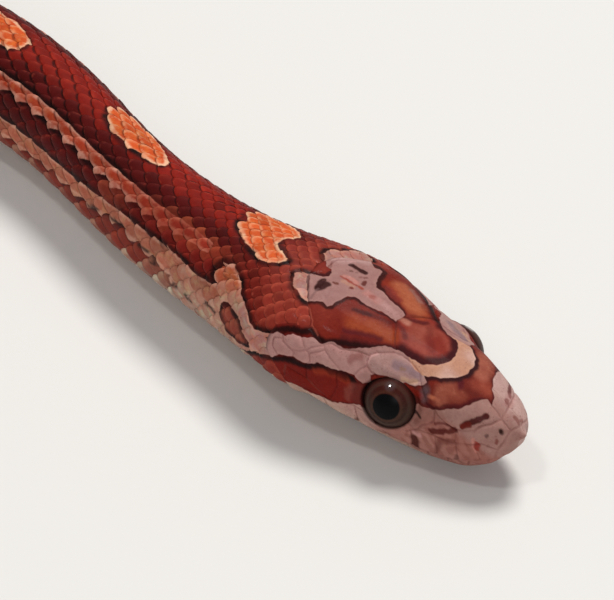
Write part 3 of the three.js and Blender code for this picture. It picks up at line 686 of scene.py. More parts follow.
middle_strokes = (
    (((15.35, 1.55), (15.8, 1.5), (16.5, 1.52)), 0.16, 0.1, pigment(54, 16, 14), 0.96),
    (((16.25, 1.68), (16.4, 1.6)), 0.05, 0.08, pigment(54, 16, 14), 0.9),
    (((16.25, -1.4), (16.35, -1.75), (16.5, -2.05)), 0.2, 0.14, pigment(54, 16, 16), 0.96),
    (((16.7, -1.3), (16.68, -1.7), (16.6, -1.95)), 0.16, 0.14, pigment(54, 16, 16), 0.96),
    (((16.45, -2.1), (16.42, -2.6), (16.38, -3.0)), 0.03, 0.12, pigment(128, 92, 92), 0.6),
    (((13.2, -0.05), (13.4, -0.12)), 0.14, 0.14, pigment(104, 24, 18), 0.95),
    (((12.9, -0.1), (13.8, -0.1)), 0.1, 0.4, pigment(206, 136, 126), 0.5),
    (((14.55, 0.45), (14.68, 0.68)), 0.1, 0.1, pigment(96, 36, 28), 0.9),
    (((14.85, 1.15), (14.95, 1.05)), 0.04, 0.1, pigment(120, 72, 66), 0.8),
    (((15.15, 0.95), (15.2, 0.85)), 0.04, 0.12, pigment(130, 82, 76), 0.7),
    (((16.0, 0.92), (16.05, 0.85)), 0.05, 0.1, pigment(110, 68, 62), 0.8),
    (((15.7, 1.1), (15.75, 1.0)), 0.03, 0.1, pigment(130, 92, 88), 0.7),
    (((14.35, -0.02), (14.6, 0.0)), 0.07, 0.1, pigment(160, 60, 38), 0.8),
    (((14.8, -0.05), (15.4, -0.06), (16.1, -0.1)), 0.04, 0.1, pigment(156, 56, 38), 0.85),
    (((14.9, 0.2), (15.6, 0.25), (16.0, 0.15)), 0.06, 0.2, pigment(212, 140, 128), 0.6),
    (((14.9, -0.3), (15.7, -0.35)), 0.06, 0.2, pigment(200, 146, 122), 0.6),
    (((14.85, -0.5), (14.92, -0.55)), 0.06, 0.1, pigment(112, 30, 24), 0.9),
    (((15.75, -0.88), (16.1, -0.92)), 0.05, 0.1, pigment(104, 48, 34), 0.85),
    (((16.98, -0.65), (17.05, -0.75)), 0.05, 0.12, pigment(84, 24, 24), 0.8),
    (((17.05, 1.75), (17.1, 1.65)), 0.03, 0.1, pigment(120, 88, 86), 0.8),
    (((16.65, 2.1), (16.85, 1.95), (16.8, 1.75)), 0.02, 0.08, pigment(210, 150, 152), 0.6),
    (((16.4, 2.3), (16.5, 2.2)), 0.04, 0.12, pigment(138, 106, 108), 0.7),
    (((17.1, 2.9), (17.2, 2.8)), 0.05, 0.2, pigment(140, 110, 110), 0.6),
    (((17.42, 0.1), (17.55, 0.8), (17.62, 1.5), (17.82, 2.2), (18.1, 2.6)), 0.02, 0.07,
      pigment(118, 66, 58), 0.8),
    (((17.75, -1.5), (17.3, -2.2), (16.9, -2.8), (16.42, -3.38)), 0.03, 0.07, pigment(96, 48, 46), 0.85),
    (((12.9, 0.0), (12.0, -0.05), (11.2, -0.1)), 0.1, 0.3, pigment(196, 150, 144), 0.5),
    (((16.6, 3.0), (17.3, 2.6), (17.5, 1.6)), 0.3, 0.8, pigment(202, 162, 158), 0.6),
    (((15.2, -1.6), (15.6, -2.2)), 0.2, 0.6, pigment(166, 122, 118), 0.5),
    (((2.23, -1.7), (2.46, -2.05), (2.69, -2.48), (2.95, -2.8), (3.25, -3.2), (3.4, -3.6)), 0.11, 0.1,
      pigment(70, 16, 14), 0.96),
    (((3.0, -3.0), (3.25, -3.35), (3.4, -3.55)), 0.12, 0.12, pigment(104, 30, 20), 0.9),
    (((1.96, 0.18), (2.05, 0.3)), 0.09, 0.12, pigment(92, 34, 30), 0.85),
    (((2.1, 0.75), (2.35, 1.0), (2.5, 1.2), (2.9, 1.9), (3.2, 2.4)), 0.06, 0.12, pigment(96, 32, 32),
      0.85),
    (((0.55, 0.35), (0.62, 0.2)), 0.04, 0.14, pigment(130, 70, 62), 0.7),
    (((0.62, -0.05), (0.95, -0.12)), 0.07, 0.14, pigment(130, 74, 66), 0.7),
    (((1.85, 0.2), (2.1, 0.9)), 0.15, 0.3, pigment(170, 118, 112), 0.5),
)


def brushed(paint, back, arc, strokes, sides):
    """A layer of paint with strokes brushed on it, on the right alone or on both sides."""
    for line, width, softness, colour, strength in strokes:
        for way in (line, mirrored(*line))[:sides]:
            paint = mix(paint, colour, strength * stroke(back, arc, way, width, softness))
    return paint


def head_paint(back, arc):
    """What is painted on the head: the dark ground, the pale marks, and how deep in one a place lies."""
    tremble = 0.015 * np.sin(11.9 * arc + 7.3 * back)
    back = back + 0.03 * np.sin(5.3 * arc + 2.1 * np.sin(3.7 * back)) + tremble
    tremble = 0.015 * np.sin(13.1 * back - 6.1 * arc)
    arc = arc + 0.03 * np.sin(4.7 * back + 1.9 * np.sin(4.1 * arc)) + tremble
    depth = np.abs(arc)
    ground = np.zeros(back.shape + (3,)) + parietal_red
    ground = mix(ground, nape_red * 0.9, 0.8 * smooth(13.6, 15.4, back))
    frontal = smooth(-0.2, 0.1, patch_distance(back, arc, frontal_shield))
    ground = mix(ground, pigment(140, 50, 39), frontal)
    frontal_rear = stroke(back, arc, ((9.0, 0.4), (9.4, 0.0), (9.0, -0.6)), 0.15, 0.9)
    ground = mix(ground, pigment(156, 78, 62), frontal * frontal_rear * 0.8)
    fore_edge = 5.1 - back + 0.75 * smooth(0.3, 2.6, np.abs(arc + 0.3)) ** 1.3
    fore = smooth(-0.3, 0.1, fore_edge + 0.5 * smooth(2.6, 3.4, depth))
    ground = mix(ground, pigment(114, 40, 31), fore * (back < 7))
    behind_eye = smooth(-4.9, -5.4, -depth) * smooth(9.3, 9.9, back)
    ground = mix(ground, pigment(122, 28, 20), behind_eye)
    before_eye = smooth(5.6, 6.2, back) * smooth(3.3, 3.7, depth) * (1 - smooth(8.8, 9.4, back))
    ground = mix(ground, pigment(92, 32, 26), before_eye)
    ground = brushed(ground, back, arc, ground_strokes, 2)
    ground = brushed(ground, back, arc, crown_strokes, 1)

    mark = np.zeros(back.shape + (3,)) + crown_pink
    mark = mix(mark, stripe_pink, smooth(4.2, 5.0, depth) * smooth(10.0, 11.0, back))
    brow = np.maximum(stroke(back, arc, ((7.4, -3.1), (8.6, -3.2), (9.8, -3.9)), 0.5, 0.5),
                      stroke(back, arc, ((7.3, 2.6), (8.6, 2.9), (9.8, 3.5)), 0.6, 0.5))
    mark = mix(mark, pigment(175, 136, 129), brow)
    snout_tone = mix(pigment(166, 124, 114), pigment(196, 160, 152), smooth(-0.8, 0.8, arc))
    mark = mix(mark, snout_tone, 1 - smooth(5.4, 6.4, back))
    side_face = smooth(3.6, 4.6, depth) * (1 - smooth(6.2, 7.2, back))
    mark = mix(mark, pigment(164, 108, 96), side_face)
    lips = smooth(5.4, 6.6, depth) * smooth(-0.5, 1.5, back)
    lip_tone = mix(pigment(168, 116, 104), pigment(184, 142, 132), smooth(7.5, 10, back))
    mark = mix(mark, lip_tone, lips * (1 - smooth(12.5, 14, back) * (depth < 8.6)))
    motley = np.sin(4.1 * back + 2.3 * np.sin(2.9 * depth)) * np.sin(3.3 * depth - 1.7 * np.sin(3.1 * back))
    motley = smooth(-0.1, 0.7, motley + 0.3 * np.sin(5.3 * back + 4.1 * depth))
    motley = motley * 0.5 * smooth(3.4, 4.8, depth) * (1 - smooth(7.0, 8.0, back))
    mark = mix(mark, pigment(132, 74, 64), motley)
    lower = smooth(8.2, 9.8, depth) * smooth(4.5, 7.5, back)
    mark = mix(mark, belly_cream, np.maximum(lower, smooth(9.7, 10.7, depth)))
    mark = brushed(mark, back, arc, mark_strokes, 2)
    mark = brushed(mark, back, arc, middle_strokes, 1)

    pale = deepest(back, arc, pale_patches)
    band = patch_distance(back, arc, peach_band)
    at_side = smooth(0.4, 1.2, np.abs(arc + 0.3)) * smooth(-6.6, -5.6, -back)
    peach = mix(pigment(198, 146, 120), pigment(212, 170, 154), at_side)
    mark = mix(mark, peach, smooth(-0.03, 0.03, band))
    return ground, mark, np.maximum(pale, band)


skin_nodes = ["head", "lower_jaw", "neck"] + [f"trunk_{n}" for n in range(1, 9)] + ["tail"]
upper_columns = np.linspace(0, 0.7, 140, endpoint=False)
half_columns = np.concatenate([upper_columns, np.linspace(0.7, 1, 28, endpoint=False)])
columns = np.concatenate([half_columns, [1.0], -half_columns[:0:-1]])
head_rings = np.concatenate([np.linspace(0, 0.6, 20, endpoint=False), np.linspace(0.6, 24, 336)])
neck_rings = np.arange(24.5, 75, 0.5)
body_rings = np.concatenate([np.arange(76, 799, 1.5), [799.2, 800]])


def skin_depth(back, arc):
    """How far the skin lies under the solid's surface: nothing at the shields, else the coat's depth."""
    behind = smooth(-0.25, 0.25, back - scales_begin(np.abs(arc)))
    return coat_depth(back) * behind


back_grid = np.repeat(head_rings[:, None], len(columns), 1)
arc_grid = columns[None] * half_girth(head_rings)[:, None]
places = lay(back_grid, arc_grid, -skin_depth(back_grid, arc_grid))
behind = np.roll(places, -1, axis=0)
behind[-1] = places[-1]
ahead = np.roll(places, 1, axis=0)
ahead[0] = places[0]
faces_out = np.cross(np.roll(places, -1, axis=1) - np.roll(places, 1, axis=1), behind - ahead)
faces_out /= np.linalg.norm(faces_out, axis=-1, keepdims=True) + 1e-9
if faces_out[100, 0, 2] < 0:
    faces_out = -faces_out

seam = np.full(back_grid.shape, 9.0)
for line in seam_lines:
    seam = np.minimum(seam, line_distance(back_grid, arc_grid, line))
on_shields = 1 - smooth(-0.3, 0.1, back_grid - scales_begin(np.abs(arc_grid)))
groove = hump(seam, 0.07) * on_shields
groove_depth = 0.04
shield_rise = 0.085
relief = (-groove_depth * groove + shield_rise * (1 - np.exp(-seam / 0.3)) - 0.07) * on_shields
relief *= 0.35 + 0.65 * smooth(0.4, 2.2, back_grid)
relief -= 0.26 * hump(back_grid, 1.4) + 0.22 * hump(back_grid, 0.45)
from_mouth = places[..., 2] - lip_height(back_grid)
on_jaws = 1 - smooth(mouth_corner - 0.6, mouth_corner + 0.2, back_grid)
relief -= 0.2 * hump(from_mouth, 0.1) * on_jaws
relief -= 0.26 * smooth(0.02, -0.12, from_mouth) * smooth(-2.6, -0.5, from_mouth) * on_jaws
relief += 0.05 * hump(from_mouth - 0.22, 0.2) * on_jaws
nostril_shade = np.zeros(back_grid.shape)
for side in (1, -1):
    before_eye = np.exp(-((back_grid - 4.2) / 1.3) ** 2 - ((side * arc_grid - 4.4) / 0.9) ** 2)
    relief -= 0.12 * before_eye
    brow_ridge = np.exp(-((back_grid - 8.6) / 1.7) ** 2 - ((side * arc_grid - 3.95) / 0.32) ** 2)
    relief += 0.1 * brow_ridge
    nostril = np.hypot((back_grid - 1.08) / 0.15, (side * arc_grid - 1.72) / 0.17)
    pit = np.exp(-nostril ** 4)
    relief -= 0.3 * pit
    relief += 0.03 * hump(nostril - 1.7, 0.5)
    nostril_shade = np.maximum(nostril_shade, pit)
places = places + faces_out * relief[..., None]


def eye_seat(side):
    """The middle of the eye on one side (1 is left), and the way that it looks. The left one bulges more."""
    tilt = math.radians(15)
    swing = math.radians(20)
    y = middle_y + side * eye_out + (side > 0) * left_eye_out
    centre = np.array([snout_x - eye_back - eye_sunk, y, eye_height - eye_drop])
    level = math.cos(tilt)
    return centre, np.array([math.sin(swing) * level, side * math.cos(swing) * level, math.sin(tilt)])


socket_shade = np.zeros(back_grid.shape)
for side in (1, -1):
    centre, axis = eye_seat(side)
    from_centre = places - centre
    above = from_centre @ axis
    beside = from_centre - above[..., None] * axis
    beside = beside + np.array([0.12, 0, 0])
    wide = np.linalg.norm(beside, axis=-1)
    brow = smooth(0.3, 0.95, beside[..., 2] / np.maximum(wide, 0.1))
    wide = wide + 0.07 + 0.2 * brow
    close = (above > 0) & (wide < 2.9)
    ball = np.sqrt(np.maximum(eye_radius ** 2 - np.minimum(wide, 2.05) ** 2, 0)) - 0.22
    lip = 1.12 + 0.05 * hump(wide - 2.05, 0.1)
    level = ball + (lip - ball) * smooth(1.8, 1.98, wide)
    level = level + (above - level) * smooth(2.02, 2.62, wide)
    places = np.where(close[..., None], places + axis * (level - above)[..., None], places)
    socket_shade = np.maximum(socket_shade, np.where(close, 1 - smooth(1.86, 2.12, wide), 0))

points = []
backs = []
arcs = []
seams = []
socket_shades = []
mouth_shades = []


def add_points(laid, back, arc, seam_away=1.0, shade_in_socket=0.0, shade_in_mouth=0.0):
    """Add points to the skin, with what its paint needs to know of each."""
    points.append(laid.reshape(-1, 3))
    values = (back, arc, seam_away, shade_in_socket, shade_in_mouth)
    for known, value in zip((backs, arcs, seams, socket_shades, mouth_shades), values):
        known.append((np.zeros(laid.shape[:-1]) + value).ravel())


nose_round = 0.27
nose_rim = places[0]
nose_middle = nose_rim.mean(0)
add_points((nose_middle + np.array([nose_round, 0, 0]))[None], 0.0, 0.0)
for share in (0.2, 0.4, 0.6, 0.8):
    disc = nose_middle + (nose_rim - nose_middle) * share
    disc[:, 0] += nose_round * (1 - share ** 2)
    add_points(disc, 0.0, arc_grid[0])
# Painted shade in the slit of the mouth and in the nostril pits.
mouth_shade = np.maximum(hump(from_mouth, 0.13) * on_jaws, nostril_shade)
add_points(places, back_grid, arc_grid, np.minimum(seam + 1 - on_shields, 1), socket_shade, mouth_shade)
ring_sizes = [len(columns)] * (4 + len(head_rings))
for rings, step in ((neck_rings, 2), (body_rings, 4)):
    grid = np.repeat(rings[:, None], len(columns) // step, 1)
    turns = columns[None, ::step] * half_girth(rings)[:, None]
    add_points(lay(grid, turns, -coat_depth(grid)), grid, turns)
    ring_sizes += [len(columns) // step] * len(rings)
add_points(lay([tail_tip], [0.0], 0) - np.array([[0, 0, 0.4]]), tail_tip, 0.0)
points = np.concatenate(points)
backs = np.concatenate(backs)
arcs = np.concatenate(arcs)


def ring_faces(start, count, next_start, next_count):
    """Faces between two rings; where the second has half as many points, they step down."""
    i = np.arange(next_count)
    j = (i + 1) % next_count
    low = next_start + i
    high = next_start + j
    if next_count == count:
        return [np.stack([start + i, start + j, high, low], 1)]
    a = start + 2 * i
    b = a + 1
    c = start + 2 * j
    return [np.stack(face, 1) for face in ((a, b, low), (b, c, high), (b, high, low))]


ring = np.arange(len(columns))
faces = [np.stack([np.zeros(len(columns), int), 1 + (ring + 1) % len(columns), 1 + ring], 1)]
start = 1
for count, next_count in zip(ring_sizes[:-1], ring_sizes[1:]):
    faces += ring_faces(start, count, start + count, next_count)
    start += count
count = ring_sizes[-1]
ring = np.arange(count)
faces.append(np.stack([start + ring, start + (ring + 1) % count, np.full(count, start + count)], 1))


def make_piece(name, points, faces):
    """A smooth mesh object from points in mm and arrays of faces, each with faces of one kind."""
    mesh = bpy.data.meshes.new(name)
    sizes = np.concatenate([np.full(len(f), f.shape[1]) for f in faces])
    corners = np.concatenate([f.ravel() for f in faces])
    mesh.vertices.add(len(points))
    mesh.vertices.foreach_set("co", (np.asarray(points) * mm).astype(np.float32).ravel())
    mesh.loops.add(len(corners))
    mesh.loops.foreach_set("vertex_index", corners.astype(np.int32))
    mesh.polygons.add(len(sizes))
    mesh.polygons.foreach_set("loop_start", np.concatenate([[0], np.cumsum(sizes)[:-1]]).astype(np.int32))
    mesh.polygons.foreach_set("loop_total", sizes.astype(np.int32))
    mesh.update(calc_edges=True)
    mesh.validate()
    mesh.polygons.foreach_set("use_smooth", np.full(len(sizes), True))
    piece = bpy.data.objects.new(name, mesh)
    bpy.context.scene.collection.objects.link(piece)
    return piece


def write_values(piece, **values):
    """Numbers or colours for each point of a piece, for its material to read."""
    for name, value in values.items():
        value = np.asarray(value, np.float32)
        kind, field = ("FLOAT", "value") if value.ndim == 1 else ("FLOAT_VECTOR", "vector")
        layer = piece.data.attributes.new(name, kind, "POINT")
        layer.data.foreach_set(field, value.ravel())


class Wire:
    """A socket's value in a material. Plain sums on wires add the nodes that work them out."""

    def __init__(self, sheet, socket):
        self.sheet = sheet
        self.socket = socket

    def __add__(self, other):
        return self.sheet.number("ADD", self, other)

    def __radd__(self, other):
        return self.sheet.number("ADD", other, self)

    def __sub__(self, other):
        return self.sheet.number("SUBTRACT", self, other)

    def __rsub__(self, other):
        return self.sheet.number("SUBTRACT", other, self)

    def __mul__(self, other):
        return self.sheet.number("MULTIPLY", self, other)

    def __rmul__(self, other):
        return self.sheet.number("MULTIPLY", other, self)

    def __truediv__(self, other):
        return self.sheet.number("DIVIDE", self, other)

    def __rtruediv__(self, other):
        return self.sheet.number("DIVIDE", other, self)

    def __pow__(self, other):
        return self.sheet.number("POWER", self, other)


class Finish:
    """A material and its nodes."""

    def __init__(self, name):
        self.material = bpy.data.materials.new(name)
        self.material.use_nodes = True
        self.tree = self.material.node_tree
        self.shader = self.tree.nodes["Principled BSDF"]

    def node(self, kind, settings, socket_shades, output=0):
        """A node with its settings and what goes into its sockets; what comes out is a wire."""
        made = self.tree.nodes.new(kind)
        for key, value in settings.items():
            setattr(made, key, value)
        for key, value in socket_shades.items():
            self.join(made.inputs[key], value)
        return Wire(self, made.outputs[output])

    def join(self, socket, value):
        if isinstance(value, Wire):
            self.tree.links.new(value.socket, socket)
        elif isinstance(value, (tuple, list, np.ndarray)) and len(value) == 3 and socket.type == "RGBA":
            socket.default_value = tuple(float(v) for v in value) + (1.0,)
        else:
            socket.default_value = value

    def number(self, operation, a, b=0.0):
        return self.node("ShaderNodeMath", {"operation": operation}, {0: a, 1: b})

    def step(self, low, high, value):
        """The same soft step as smooth, in the material."""
        settings = {"interpolation_type": "SMOOTHSTEP"}
        return self.node("ShaderNodeMapRange", settings, {"Value": value, "From Min": low, "From Max": high})

    def read(self, name, output="Fac"):
        return self.node("ShaderNodeAttribute", {"attribute_name": name}, {}, output)

    def blend(self, share, a, b):
        return self.node("ShaderNodeMix", {"data_type": "RGBA"}, {0: share, 6: a, 7: b}, 2)

    def shade(self, share, a, b):
        """Colour a multiplied by colour b, as far as the share says."""
        settings = {"data_type": "RGBA", "blend_type": "MULTIPLY"}
        return self.node("ShaderNodeMix", settings, {0: share, 6: a, 7: b}, 2)

    def grain(self, size, detail=3.0, roughness=0.6):
        """Soft noise with lumps of this size in mm, from 0 to 1."""
        spot = self.node("ShaderNodeTexCoord", {}, {}, "Object")
        socket_shades = {"Vector": spot, "Scale": 1 / (size * mm), "Detail": detail, "Roughness": roughness}
        return self.node("ShaderNodeTexNoise", {}, socket_shades, 0)

    def bump(self, height, depth):
        """A bump of this depth in mm."""
        return self.node("ShaderNodeBump", {}, {"Height": height, "Distance": depth * mm, "Strength": 1.0})

    def set(self, **socket_shades):
        for key, value in socket_shades.items():
            self.join(self.shader.inputs[key.replace("_", " ")], value)


skin = make_piece("snake_skin", points, faces)
on_head = backs < 24.4
ground = np.zeros((len(points), 3))
mark = np.zeros((len(points), 3))
pale = np.full(len(points), -9.0)
ground[on_head], mark[on_head], pale[on_head] = head_paint(backs[on_head], arcs[on_head])
body_ground, body_mark, body_pale, _, _ = body_paint(backs, arcs)
under_scales = smooth(-0.3, 0.3, backs - scales_begin(np.abs(arcs)))
belly = smooth(0.96, 1.02, np.abs(arcs) / belly_edge(backs)) * (backs > 18)
# Under the scales the skin is painted at about a fifth of the colour above it, and under the scutes darker
# than the cream: partly the skin's own dark colour, partly painted shade where the scales cover it.
under = mix(body_ground * 0.2, body_mark * 0.22, smooth(-0.1, 0.1, body_pale))
under = mix(under, belly_cream * 0.8, belly)
ground = mix(ground, under, under_scales)
mark = mix(mark, under, under_scales)
write_values(skin, ground=ground, mark=mark, pale=pale, seam=np.concatenate(seams))
write_values(skin, socket=np.concatenate(socket_shades), mouth=np.concatenate(mouth_shades), shields=1 - under_scales)

horn = Finish("skin_and_shields")
wave = (horn.grain(0.4, 4.0) - 0.5) * 0.07
edge = horn.read("pale") + wave
in_mark = horn.step(-0.04, 0.04, edge)
shields = horn.read("shields")
patchy = horn.step(0.35, 0.7, horn.grain(1.1))
seam_away = horn.read("seam") + (horn.grain(0.25) - 0.5) * 0.06
seam_line = (1 - horn.step(0.02, 0.1, seam_away)) * (0.3 + patchy * 0.7)
seam_halo = (1 - horn.step(0.08, 0.4, seam_away)) * shields
ground_wire = horn.read("ground", "Color")
cloud = horn.step(0.3, 0.75, horn.grain(0.8, 6.0, 0.72))
ground_wire = horn.shade(cloud * 0.6, ground_wire, (0.68, 0.46, 0.44))
lit_spots = horn.step(0.5, 0.8, horn.grain(0.45, 4.0, 0.7))
ground_wire = horn.shade(lit_spots * 0.8, ground_wire, (1.25, 1.6, 1.55))
rim_line = horn.step(-0.18, -0.03, edge) * (0.15 + patchy * 0.45) * shields
ground_wire = horn.blend(rim_line, ground_wire, pigment(60, 16, 18))
mark_wire = horn.read("mark", "Color")
mark_wire = horn.shade(cloud * 0.6, mark_wire, (0.74, 0.64, 0.64))
pale_spots = horn.step(0.5, 0.7, horn.grain(0.55, 5.0, 0.75))
mark_wire = horn.shade(pale_spots * 0.6, mark_wire, (1.14, 1.24, 1.26))
mark_wire = horn.shade((1 - horn.step(0.04, 0.3, edge)) * 0.5, mark_wire, (1.12, 1.16, 1.14))
mark_wire = horn.shade(seam_halo * 0.4, mark_wire, (1.14, 1.12, 1.12))
specks = horn.step(0.6, 0.72, horn.grain(0.14, 2.0, 0.5)) * patchy * shields
mark_wire = horn.blend(specks * 0.6, mark_wire, pigment(112, 62, 58))
colour = horn.blend(in_mark, ground_wire, mark_wire)
grit = horn.grain(0.1, 4.0, 0.7)
colour = horn.shade(grit * 0.35, colour, (0.66, 0.58, 0.56))
colour = horn.shade(seam_line * 0.6, colour, (0.42, 0.26, 0.26))
# Painted shade: the slit of the mouth and the nostrils are darkened, where shade falls in them.
colour = horn.blend(horn.read("mouth") * 0.85, colour, pigment(40, 16, 14))
# Painted shade: a dark ring round each eye, where the skin meets the ball.
colour = horn.blend(horn.read("socket"), colour, pigment(22, 9, 8))
horn.set(Base_Color=colour, Roughness=0.45 + grit * 0.2, Normal=horn.bump(grit + cloud * 2.0, 0.012))
horn.set(Coat_Weight=0.02, Coat_Roughness=0.1, Specular_IOR_Level=0.06)
skin.data.materials.append(horn.material)
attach(skin, "root")
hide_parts(*skin_nodes)

# The eyes: each a smooth ball under a clear fixed scale, with no lids. The iris is dark and the
# pupil round. Each ball is set in its socket with its rim just under the shields round it.
glaze = Finish("eye")
pupil = glaze.read("from_pupil")
axis_way = glaze.read("from_axis")
streak = glaze.grain(0.16, 4.0, 0.7)
iris = glaze.blend(glaze.step(-0.6, 1.4, glaze.read("upward")), pigment(62, 42, 36), pigment(66, 26, 21))
iris = glaze.shade(glaze.step(0.35, 0.75, streak) * 0.6, iris, (0.45, 0.38, 0.36))
gold = glaze.step(0.92, 1.02, pupil) * (1 - glaze.step(1.05, 1.22, pupil))
iris = glaze.blend(gold * 0.14, iris, pigment(112, 74, 52))
iris_rim = glaze.step(1.3, 1.42, axis_way) * (1 - glaze.step(1.5, 1.66, axis_way))
iris = glaze.blend(iris_rim * 0.22, iris, pigment(92, 74, 64))
iris = glaze.blend(glaze.step(1.62, 1.8, axis_way), iris, pigment(30, 16, 14))
iris = glaze.blend(1 - glaze.step(0.88, 0.97, pupil), iris, pigment(10, 9, 11))
wet = (1 - glaze.step(0.1, 0.24, glaze.read("from_light"))) * 0.9
glaze.set(Base_Color=iris, Roughness=0.35, Coat_Weight=wet, Coat_IOR=1.9, Coat_Roughness=0.03)
glaze.set(Specular_IOR_Level=0.05)


def dome_faces(around, rings):
    """The faces of a dome: a fan round the point on top, and quads from each ring down to the next."""
    i = np.arange(around)
    j = (i + 1) % around
    quads = []
    for a in range(1, 1 + (rings - 1) * around, around):
        quads.append(np.stack([a + i, a + around + i, a + around + j, a + j], 1))
    return np.stack([np.zeros(around, int), 1 + i, 1 + j], 1), np.concatenate(quads)


around = 96
turns = np.linspace(0, 2 * math.pi, around, endpoint=False)
leans = np.linspace(0, math.pi, 49)[1:-1]
last = 1 + (len(leans) - 1) * around + np.arange(around)
rear = np.stack([last, np.full(around, last[-1] + 1), np.roll(last, -1)], 1)
ball_faces = [*dome_faces(around, len(leans)), rear]
for label, side in (("left", 1), ("right", -1)):
    centre, axis = eye_seat(side)
    forward = np.cross(np.array([0, 0, 1.0]), axis)
    forward /= np.linalg.norm(forward)
    upward = np.cross(axis, forward)
    ball_points = [centre + axis * eye_radius]
    for lean in leans:
        out = math.sin(lean) * eye_radius
        spread = np.outer(np.cos(turns) * out, forward) + np.outer(np.sin(turns) * out, upward)
        ball_points.extend(centre + axis * math.cos(lean) * eye_radius + spread)
    ball_points.append(centre - axis * eye_radius)
    eye = make_piece(f"eyeball_{label}", ball_points, ball_faces)
    offset = np.array(ball_points) - centre
    ahead = offset @ forward
    high = offset @ upward
    write_values(eye, from_pupil=np.hypot(ahead + 0.02, high + 0.05))
    write_values(eye, from_axis=np.hypot(ahead, high) + 9 * (offset @ axis < 0), upward=high)
    toward_light = np.array([0.18, side * 0.54, 0.82])
    write_values(eye, from_light=np.linalg.norm(offset / eye_radius - toward_light, axis=1))
    eye.data.materials.append(glaze.material)
    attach(eye, "root")
    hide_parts(f"eye_{label}")

# The scales of the neck, body and tail: horny plates, rooted in the skin at their front and free at
# their rounded rear, each lying over the roots of the next. There are 37 rows of them at the nape,
# 29 round the body and fewer towards the tail.
pitch = profile(
    (10, 1.0), (18, 1.08), (23, 1.25), (28, 1.57), (31, 1.85), (35, 2.12), (40, 2.4), (60, 2.45),
    (100, 2.75), (200, 3.2), (400, 3.4), (600, 2.8), (675, 2.1), (740, 1.6), (800, 1.1),
)
ring_steps = [13.0]
while ring_steps[-1] < tail_tip + 5:
    ring_steps.append(ring_steps[-1] + 0.5 * float(pitch(ring_steps[-1])))
ring_steps = np.array(ring_steps)


def scale_shape(around):
    """One scale's points: how far along, how far across, how high, with the faces between."""
    turn = np.linspace(0, 2 * math.pi, around, endpoint=False)
    along = [np.zeros(1)]
    across = [np.zeros(1)]
    level = [np.ones(1)]
    for share, height in ((0.42, 0.97), (0.76, 0.84), (0.95, 0.5), (1.0, 0.14), (0.96, -0.12)):
        along.append(np.cos(turn) * share)
        across.append(np.sin(turn) * share)
        level.append(np.full(around, height))
    top, quads = dome_faces(around, 5)
    rim = 1 + 4 * around + np.arange(around)
    below = np.stack([np.full(around - 2, rim[0]), rim[2:], rim[1:-1]], 1)
    return np.concatenate(along), np.concatenate(across), np.concatenate(level), (top, below, quads)


scale_draw = np.random.default_rng(7)
root_share = 0.74
tip_share = 0.62
length_share = 1.36
width_share = 1.06
set_back = 0.08
scales = Finish("body_scales")
along_wire = scales.node("ShaderNodeSeparateXYZ", {}, {0: scales.read("scale_place", "Vector")})
across_wire = Wire(scales, along_wire.socket.node.outputs[1])
keel_wire = Wire(scales, along_wire.socket.node.outputs[2])
corner = scales.read("corner")


def from_middle(ahead, beside):
    """How far a spot is from the middle of a scale that lies this far ahead and beside: 1 on its edge."""
    u = scales.number("ABSOLUTE", (along_wire + (ahead + set_back)) / tip_share)
    v = scales.number("ABSOLUTE", (across_wire + beside) / width_share)
    return (u ** corner + v ** corner) ** (1 / corner)


reach = from_middle(0, 0)
tip_gap = from_middle(1.0, 0) - 1
spine_gap = from_middle(0.5, 1) - 1
belly_gap = from_middle(0.5, -1) - 1
grit = scales.grain(0.12, 4.0, 0.65)
flaw = (scales.grain(0.35) - 0.5) * 0.4
rim = scales.step(0.4, 0.95, reach + flaw)
speckle = (scales.grain(0.22, 4.0) - 0.5) * 0.1
in_mark = scales.step(-0.04, 0.04, scales.read("pale") + rim * 0.06 - 0.02 + speckle)
edge = scales.read("line") + speckle * 2
uneven = 0.65 + 0.35 * scales.step(0.4, 0.6, scales.grain(1.6))
on_line = scales.step(-0.55, -0.16, edge) * scales.read("outline") * uneven
cloud = scales.step(0.3, 0.75, scales.grain(0.8, 6.0, 0.7))
ground_wire = scales.read("ground", "Color")
ground_wire = scales.shade(cloud * 0.55, ground_wire, (0.6, 0.4, 0.38))
# Painted highlight: each scale's tip is lighter, most on its side towards the spine, where the light falls.
lit_side = 1 - scales.step(-0.5, 0.5, across_wire)
tip_highlight = scales.step(0.3, 0.85, reach + flaw) * (0.25 + lit_side * 0.75)
ground_wire = scales.shade(tip_highlight * 0.55, ground_wire, (1.65, 2.5, 2.3))
# Painted highlight: pale arcs on the rims of the nape scales, where their edges catch the light.
rim_highlight = scales.step(0.72, 0.9, reach + flaw * 1.5) * scales.step(0.48, 0.62, scales.grain(0.6, 4.0))
ground_wire = scales.blend(rim_highlight * scales.read("arcs"), ground_wire, pigment(178, 76, 58))
ground_wire = scales.blend(on_line, ground_wire, border_black)
mark_wire = scales.read("mark", "Color")
mark_wire = scales.shade(cloud * 0.8, mark_wire, (0.84, 0.46, 0.36))
bright = scales.step(0.5, 0.62, scales.grain(0.9, 3.0))
mark_wire = scales.shade(bright * 0.7, mark_wire, (1.1, 1.6, 1.35))
rim_seen = rim * scales.step(0.38, 0.56, scales.grain(0.7, 4.0))
mark_wire = scales.blend(rim_seen * 0.55, mark_wire, scales.read("mark_rim", "Color"))
near_edge = 1 - scales.step(0.02, 0.3, edge + flaw * 0.8)
near_edge = near_edge * (0.35 + 0.45 * scales.step(0.42, 0.58, scales.grain(1.3, 3.0)))
mark_wire = scales.blend(near_edge, mark_wire, scales.read("mark_edge", "Color"))
colour = scales.blend(in_mark, ground_wire, mark_wire)
colour = scales.shade(grit * 0.4, colour, (0.62, 0.5, 0.48))
